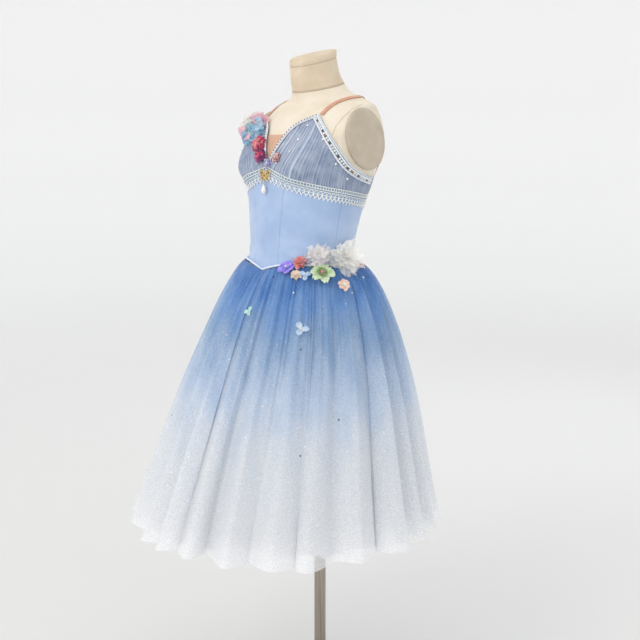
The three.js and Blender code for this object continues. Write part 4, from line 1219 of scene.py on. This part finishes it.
def dress_point(angle, z):
    """The dress's plain outer surface: the bodice above the waist, the crests of the gathers below it."""
    if z > 950:
        return on_body(angle, z, SATIN_OUT)
    level = z - 2
    out = SKIRT.read("folds", level) + 1.2
    turn = math.radians(angle)
    x = (SKIRT.read("half_width", level) + out) * math.sin(turn)
    y = SKIRT.read("centre_y", level) - (SKIRT.read("half_depth", level) + out) * math.cos(turn)
    return np.array([x, y, z], float)


def seat_frame(angle, z, lift, reach):
    """Where a flower sits and which way it faces."""
    if z > 1050:
        point, normal = body_point(angle, z), body_normal(angle, z)
    else:
        point = dress_point(angle, z)
        along = dress_point(angle + 4, z) - dress_point(angle - 4, z)
        up = dress_point(angle, z + reach) - dress_point(angle, z - reach)
        normal = unit(np.cross(along, up))
    return point + normal * lift, basis_on(normal)


PETAL_GRID = (9, 11)
FRILL_GRID = (8, 145)


def petal(length, width, tilt, cup, ruffle, notch, phase, root):
    """A petal that grows along Y from root, tilted up in degrees."""
    s = np.linspace(0, 1, PETAL_GRID[0])[:, None]
    t = np.linspace(-1, 1, PETAL_GRID[1])[None, :]
    swell = np.where(s < 0.6, (s - 0.6) / 0.62, (s - 0.6) / 0.46)
    half = width / 2 * np.sqrt(np.maximum(1 - swell**2, 0.03))
    x = half * t
    y = length * (s - 0.14 * s**2 * t**2 - notch * np.exp(-((t / 0.28) ** 2)) * s**6)
    z = length * (
        cup * t**2 * np.sin(np.pi * s * 0.8) + ruffle * np.sin(4.5 * t + phase) * s**2 - 0.1 * s**3
    )
    a = math.radians(tilt)
    forward, up = y * math.cos(a) - z * math.sin(a), y * math.sin(a) + z * math.cos(a)
    return np.stack([x + 0 * y, root + forward, up], -1)


def frill(radius, tilt, gathers, depth, phase):
    """A gathered disc of net with a ragged edge, that rises outwards by tilt degrees."""
    s = np.linspace(0.06, 1, FRILL_GRID[0])[:, None]
    t = np.linspace(0, 2 * np.pi, FRILL_GRID[1])[None, :]
    broad = 1 - 0.13 * (1 + np.sin(3 * t + phase))
    ragged = broad - 0.09 * np.sin(7 * t + 2 * phase) - 0.05 * np.sin(17 * t)
    reach = radius * s * (1 + (ragged - 1) * s)
    wave = np.sin(gathers * t + phase + 1.2 * np.sin(2 * t))
    rise = reach * math.tan(math.radians(tilt)) - 0.2 * radius * s**3 + radius * depth * s**1.3 * wave
    around = t + 0.5 / gathers * np.cos(gathers * t + phase) * s
    return np.stack([reach * np.cos(around), reach * np.sin(around), rise], -1)


def add_sheet(pile, points, finish):
    """Adds a petal or a frill, a grid of points, that faces outwards."""
    rows, columns = points.shape[:2]
    pile.add(points, grid_faces(rows, columns)[:, ::-1].tolist(), finish)


def ball_petal(centre, axes, radius, share, shape):
    """One broad petal of a ball of them, and its finish: the last in the middle, the first and second
    round it."""
    swing = 2 * np.pi * share * 34 / 1.618 + rng.uniform(-0.2, 0.2)
    up = 1 - 1.02 * share
    wide = math.sqrt(max(1 - up * up, 0.0))
    out = np.array([wide * math.cos(swing), wide * math.sin(swing), up]) @ axes
    lean = np.cross(out, np.array([math.cos(2.7 * swing), 0.3, math.sin(2.7 * swing)]))
    lean = lean / np.linalg.norm(lean)
    across = np.cross(lean, out)
    length = radius * 2 * shape["spread"] * rng.uniform(0.85, 1.1)
    cup, ruffle = shape["cup"] * rng.uniform(0.5, 1.2), shape["ruffle"] * rng.uniform(0.6, 1.4)
    tilt, phase = rng.uniform(4, 22), rng.uniform(0, 6.28)
    points = petal(length, length * 1.05, tilt, cup, ruffle, shape["notch"], phase, 0.0)
    points[..., 1] -= 0.45 * length
    points[..., 2] += 0.62 * radius
    height = out[2] - 0.75 * out[0] + rng.uniform(-0.35, 0.35)
    finish = 2 if share < 0.25 else 0 if height > 0.1 else 1
    if shape["wall"]:
        finish = 1 if share < 0.25 else 0
    return centre + points @ np.array([across, lean, out]), finish


# rings are rings of petals from the outside in: how many, length and width as shares of the radius, tilt
# in degrees, height of the root and which finish. frills: reach, tilt, gathers, height and finish. ball is
# how many petals stand all round, each as long as spread times the flower's width. wall is the cloth's
# thickness in millimetres.
ROSETTE_RINGS = [(6, 1, 0.95, 10, 0, 0), (6, 0.86, 0.8, 28, 1, 1), (5, 0.66, 0.7, 48, 2, 0)]
ROSETTE_RINGS += [(4, 0.42, 0.5, 70, 3, 1)]
PUFF_FRILLS = [(1.12, 6, 17, 0, 0), (1.02, 24, 14, 1, 1), (0.86, 42, 12, 2, 0), (0.62, 60, 9, 3, 1)]
STYLES = {
    "bloom": {"ball": 34, "spread": 0.5, "cup": 0.3, "ruffle": 0.14, "notch": 0.12, "wall": 0},
    "posy": {"ball": 26, "spread": 0.42, "cup": 0.34, "ruffle": 0.1, "notch": 0.0, "wall": 0.3},
    "rosette": {"rings": ROSETTE_RINGS, "cup": 0.3, "ruffle": 0.1, "notch": 0.0, "wall": 0.3},
    "daisy": {"cup": 0.2, "ruffle": 0.09, "notch": 0.16, "wall": 0.3},
    "pansy": {"cup": 0.14, "ruffle": 0.08, "notch": 0.06, "wall": 0.3},
    "puff": {"frills": PUFF_FRILLS, "cup": 0.12, "ruffle": 0.14, "notch": 0.05, "wall": 0},
    "petals": {"cup": 0.15, "ruffle": 0.08, "notch": 0.12, "wall": 0},
}
STYLES["daisy"]["rings"] = [(6, 1.02, 0.82, 10, 0.5, 0), (5, 0.5, 0.5, 32, 1.5, 1)]
STYLES["pansy"]["rings"] = [(5, 1.0, 1.1, 12, 0.5, 0), (4, 0.5, 0.5, 34, 1.5, 1)]
STYLES["puff"]["rings"] = [(3, 0.4, 0.4, 62, 4, 0)]
STYLES["petals"]["rings"] = [(3, 1.1, 0.9, 10, 0.5, 0), (2, 0.6, 0.6, 30, 1.5, 1)]
# Each flower: CAD node, angle, height, radius, lift, turn, style, middle and petals.
FLOWERS = [
    ("shoulder_bloom", -26, 1209, 33, 4.0, 10, "bloom", "pearls", "pink_organza blue_organza white_organza"),
    ("raspberry_rosette", -10.8, 1181, 17, 6.6, 20, "posy", "clear", "raspberry_silk coral_silk"),
    ("plum_rosette", -6.4, 1160, 14, 7.0, 0, "posy", "clear", "plum_silk raspberry_silk"),
    ("lavender_rosette", 1.7, 1148, 9, 4.5, 0, "rosette", "stones", "lavender_silk lavender_silk"),
    ("rose_rosette", 10.3, 1158, 11, 4.8, 30, "rosette", "stones", "rose_silk peach_silk"),
    ("hip_violet_flower", 29.3, 948, 16.5, -0.7, 0, "pansy", "pearl", "violet_silk violet_silk"),
    ("hip_coral_flower", 41.6, 951, 14.5, 7.0, 0, "rosette", "none", "coral_silk coral_silk"),
    ("hip_cream_flower", 38.9, 938, 11, -4.3, 0, "rosette", "pearl", "cream_silk peach_silk"),
    ("hip_blue_petals", 46.5, 936, 11, -0.9, 40, "petals", "none", "sky_silk sky_silk"),
    ("hip_green_flower", 60, 937, 23, 2.7, 15, "daisy", "rose", "leaf_silk moss_silk"),
    ("hip_mauve_puff", 60.5, 967, 25, 4.3, 0, "puff", "pearls", "mauve_organza white_organza"),
    ("hip_white_bloom", 88.3, 958, 35, 9.7, 0, "puff", "pearls", "white_organza white_organza"),
    ("hip_peach_bud", 111, 947, 9.5, -1.6, 0, "rosette", "pearl", "peach_silk peach_silk"),
    ("skirt_peach_flower", 76.5, 917, 13, -1.3, 0, "daisy", "pearl", "peach_silk cream_silk"),
    ("skirt_blue_petal", 46.1, 841, 13, -3.7, 40, "petals", "pearl", "sky_silk white_organza"),
    ("skirt_mint_petal", 10, 866, 10, -3.4, 70, "petals", "none", "mint_silk mint_silk"),
]
pearls = Pile()


def flower_middle(centre, axes, radius, kind):
    """Pearls or stones sewn in a flower's middle."""
    top = centre + axes[2] * (2.4 + 0.16 * radius)
    if kind in ("pearl", "pearls"):
        set_on(pearls, BALL, top, axes[2], 2.4)
    if kind == "pearls":
        for point in oval(5.2, 5.2, -0.8, circle(5) + 0.4):
            set_on(pearls, BALL, top + point @ axes, axes[2], 1.5)
    if kind == "clear":
        set_on(stones, STONE, top, axes[2], 2.6, CLEAR)
    if kind in ("rose", "stones"):
        size, finishes = (3.0, (ROSE, ROSE)) if kind == "rose" else (2.0, (CLEAR, SMOKE))
        set_on(stones, STONE, top, axes[2], size, finishes[0])
        for k, point in enumerate(oval(3.9, 3.9, -0.8, circle(6))):
            set_on(stones, STONE, top + point @ axes, axes[2], 1.2, finishes[k % 2], spin=k)



for node, angle, z, radius, lift, spin, style, middle, petals in FLOWERS:
    centre, axes = seat_frame(angle, z, lift + 1.0, 0.75 * radius)
    shape = STYLES[style]
    blossom = Pile()
    for reach, tilt, gathers, height, finish in shape.get("frills", []):
        sheet = frill(radius * reach, tilt + rng.uniform(-4, 4), gathers, 0.09, rng.uniform(0, 6.28))
        sheet[..., 2] += height * radius / 20
        add_sheet(blossom, centre + sheet @ axes, finish)
    for k in range(shape.get("ball", 0)):
        placed, finish = ball_petal(centre, axes, radius, k / shape["ball"], shape)
        add_sheet(blossom, placed, finish)
    for count, length, width, tilt, height, finish in shape.get("rings", []):
        offset = rng.uniform(0, 360)
        for k in range(count):
            long = radius * length * (1 + rng.uniform(-0.1, 0.1))
            rise, cup = tilt + rng.uniform(-7, 7), shape["cup"] * rng.uniform(0.7, 1.3)
            ruffle, phase = shape["ruffle"] * rng.uniform(0.6, 1.4), rng.uniform(0, 6.28)
            points = petal(long, radius * width, rise, cup, ruffle, shape["notch"], phase, 0.06 * radius)
            a = math.radians(spin + offset * (style != "daisy") + 360 * k / count + rng.uniform(-6, 6))
            placed = centre + (spun(points, a) + np.array([0, 0, height * radius / 20])) @ axes
            add_sheet(blossom, placed, finish)
    names = petals.split()
    piece = blossom.make(f"fabric_{node}", [PETALS[name] for name in names], [node])
    if shape["wall"]:
        thicken(piece, "petal_thickness", shape["wall"])
    flower_middle(centre, axes, radius, middle)


# Brooch, drop, stones and closures

# Four lobes: place across and up, and size. Each holds a dark amber stone inside a beaded rim, whose brown
# is painted shade for the lobe's open middle.
LOBES = [(-9.2, 4.4, 6.6), (9.2, 4.4, 6.6), (-6.8, -5.0, 5.0), (6.8, -5.0, 5.0)]
PLATE_RINGS = [(12, 7, -1.2), (13, 8, -0.8), (13, 8, -0.2), (11, 6, 0.2)]
brooch = Pile()
BROOCH = {"z": 1125.5, "out": 7.0}
brooch_centre = body_point(0.0, BROOCH["z"]) - np.array([0, BROOCH["out"], 0])
brooch_out = np.array([0, -1.0, 0])
axes = basis_on(brooch_out)
turn = np.linspace(0, 2 * np.pi, 33)

for x, y, size in LOBES:
    at = brooch_centre + axes[0] * x + axes[1] * y
    lean = math.atan2(y, x)
    set_on(brooch, STONE, at, brooch_out, (size * 0.7, size * 0.4, 1.6), 1, spin=lean)
    rim = at + spun(oval(size * 1.12, size * 0.8, 0.6, turn), lean) @ axes
    tube(brooch, rim, 1.0, brooch_out, 6, ring=True)
    for bead in spun(oval(size * 1.3, size * 0.98, 0.5, turn[:-1:4]), lean):
        set_on(brooch, SMALL_BALL, at + bead @ axes, brooch_out, 0.8)
set_on(brooch, STONE, brooch_centre, brooch_out, (3.4, 3.4, 3.6), 1)
tube(brooch, brooch_centre + oval(4, 4, 1, turn) @ axes, 0.7, brooch_out, 6, ring=True)
back_plate = [brooch_centre + oval(w, h, d, turn[:-1]) @ axes for w, h, d in PLATE_RINGS]
closed_rings(brooch, back_plate)
brooch.make("gilt_brooch", [gilt, amber_crystal], ["brooch"], smooth=False)
for node in ("brooch_bail", "drop_ring"):
    refinish(node, gilt)

low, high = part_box("pearl_drop")
drop_axis = np.array([(low.x + high.x) / 2, (low.y + high.y) / 2, 0]) / MM
drop_low, drop_high = low.z / MM, high.z / MM
DROP_RADIUS = 5
DROP_PROFILE = [(0, 0.02), (0.02, 0.3), (0.08, 0.62), (0.18, 0.9), (0.32, 1.0), (0.46, 0.93), (0.6, 0.72)]
DROP_PROFILE += [(0.72, 0.5), (0.82, 0.34), (0.9, 0.24)]
drop = Pile()


def drop_rings(profile):
    """Rings round the drop from shares of its height and of its radius."""
    sizes = [(mix(drop_low, drop_high, share), DROP_RADIUS * r) for share, r in profile]
    return [drop_axis + oval(wide, wide, z, circle(32)) for z, wide in sizes]


closed_rings(drop, drop_rings(DROP_PROFILE), 0)
closed_rings(drop, drop_rings([(0.84, 0.36), (0.87, 0.42), (0.93, 0.34), (0.97, 0.2), (0.995, 0.12)]), 1)
drop.make("pearl_pendant", [pearl, gilt], ["pearl_drop"], body=DROP)

# Stones on the cups, beads at the neckline and stones on the skirt. Those on the hidden sides are strewn.
CUP_STONES = [(25.6, 1219), (23.1, 1191), (20.6, 1169), (40.6, 1192), (58, 1150), (75, 1122)]
CUP_STONES += [(-40, 1190), (-60, 1150), (-30, 1170)]
for k, (angle, z) in enumerate(CUP_STONES):
    set_on(stones, STONE, on_body(angle, z, 6.2), body_normal(angle, z), 2.3, CLEAR, spin=k)
for angle, z in [(-10.6, 1146), (11.5, 1148)]:
    set_on(pearls, BALL, on_body(angle, z, 6.0), body_normal(angle, z), 1.7)
# Angle, level and finish
SKIRT_STONES = [(39, 903, 0), (61, 930, 0), (83, 900, 0), (103, 925, 0), (31, 700, 0), (-38, 810, 1)]
SKIRT_STONES += [(-20, 725, 1), (-29, 638, 1), (46, 802, 1), (49, 613, 1), (19, 930, 1), (68, 673, 1)]
SKIRT_STONES += [(150, 820, 1), (200, 760, 0), (240, 850, 1), (275, 720, 0), (300, 840, 1), (320, 620, 1)]
SKIRT_STONES += [(130, 660, 1), (85, 760, 0), (170, 900, 0)]
for k, (angle, level, kind) in enumerate(SKIRT_STONES):
    point, normal = on_skirt(angle, level, 0.6)
    set_on(stones, STONE, point, normal, 1.9, kind, spin=k)
crystals = [clear_crystal, dark_crystal, amber_crystal, rose_crystal]
stones.make("sewn_stones", crystals, smooth=False)
pearls.make("sewn_pearls", [pearl])

# Hooks and eyes down the centre back: heights, how many, degrees to each side, and the size of a loop
HOOKS = {"z": (962, 1106), "count": 10, "apart": 1.6, "wide": 2.2, "high": 1.5}
hooks = Pile()
for z in np.linspace(*HOOKS["z"], HOOKS["count"]):
    for side in (1, -1):
        angle = 180 - side * HOOKS["apart"]
        normal = body_normal(angle, z)
        loop = oval(HOOKS["wide"], HOOKS["high"], 0, np.linspace(0, 2 * np.pi, 15)) @ basis_on(normal)
        tube(hooks, on_body(angle, z, SATIN_OUT + 0.6) + loop, 0.4, normal, 5, ring=True)
    reach = 180 + np.linspace(-HOOKS["apart"], HOOKS["apart"], 6)
    tube(hooks, on_body(reach, z, SATIN_OUT + 1.0), 0.5, body_normal(180.0, z), 5)
hooks.make("hooks_and_eyes", [steel])


# Floor, light and camera


def studio_floor():
    """Seamless matt paper: painted shade grey around the stand, as in the photograph, where the lamps light
    it most, and painted light white far behind it, where only the room lights it.
    """
    material, tree, surface = new_material(
        "seamless_paper_painted_shade", {"Roughness": 0.95, "Specular IOR Level": 0.1}
    )
    place = object_place(tree)
    shade_and_bump(tree, surface, place, ("#f3f4f5", "#f5f6f7"), 900, 2, 0.01)
    reach = add_node(tree, "VectorMath", {0: place}, operation="LENGTH").outputs["Value"]
    # Painted shade near the stand and painted light far off, by the distance from its middle.
    stops = [(0.0, "#e3e3e2"), (0.45, "#f4f5f5"), (1.0, "#ffffff")]
    join(tree, surface, Base_Color=ramp(tree, spread(tree, reach, 1.0, 14.0), stops))
    return material


# The paper sweeps up all round, far outside every view, so that no horizon shows.
SWEEP = [(400, 0), (3000, 0), (8000, 0), (10000, 150), (11500, 700), (12500, 1700), (13000, 3000)]
SWEEP += [(13200, 5000), (13300, 9000)]
SPOKES = 96
floor_rings = np.stack([oval(r, r, z, circle(SPOKES)) for r, z in SWEEP])
floor_faces = grid_faces(len(SWEEP), SPOKES, ring=True)[:, ::-1].tolist() + [list(range(SPOKES))]
floor = make_piece("studio_floor", floor_rings, floor_faces, [studio_floor()])
floor.location.z = -0.0005

world = bpy.data.worlds.new("soft_room")
world.use_nodes = True
room = world.node_tree.nodes["Background"].inputs
room["Color"].default_value = linear("#f5f5f5")
room["Strength"].default_value = 1.04
bpy.context.scene.world = world


def soft_light(name, place, aim, size, power, colour):
    """A round lamp that faces its aim."""
    lamp = bpy.data.lights.new(name, "AREA")
    lamp.shape = "DISK"
    lamp.size = size
    lamp.energy = power
    lamp.color = linear(colour)[:3]
    light = bpy.data.objects.new(name, lamp)
    light.location = place
    light.rotation_euler = (Vector(aim) - Vector(place)).to_track_quat("-Z", "Y").to_euler()
    bpy.context.scene.collection.objects.link(light)


MIDDLE = (0, -0.05, 0.9)
soft_light("key_front", (0.3, -2.9, 2.5), MIDDLE, 1.8, 27, "#fffaf3")
soft_light("fill_right", (3.0, -0.4, 1.8), MIDDLE, 2.5, 1.5, "#f6f8ff")
soft_light("rim_back", (-0.6, 2.6, 2.4), MIDDLE, 2.0, 12, "#f6f9ff")
bpy.context.scene.view_settings.view_transform = "Standard"

lens = bpy.data.cameras.new("photo_camera")
lens.lens = 59.5
lens.sensor_width = 36
camera = bpy.data.objects.new("photo_camera", lens)
camera.location = (1.6349, -1.4721, 1.190)
camera.rotation_euler = (math.radians(90 - 9.55), 0, math.radians(48))
bpy.context.scene.collection.objects.link(camera)
bpy.context.scene.camera = camera
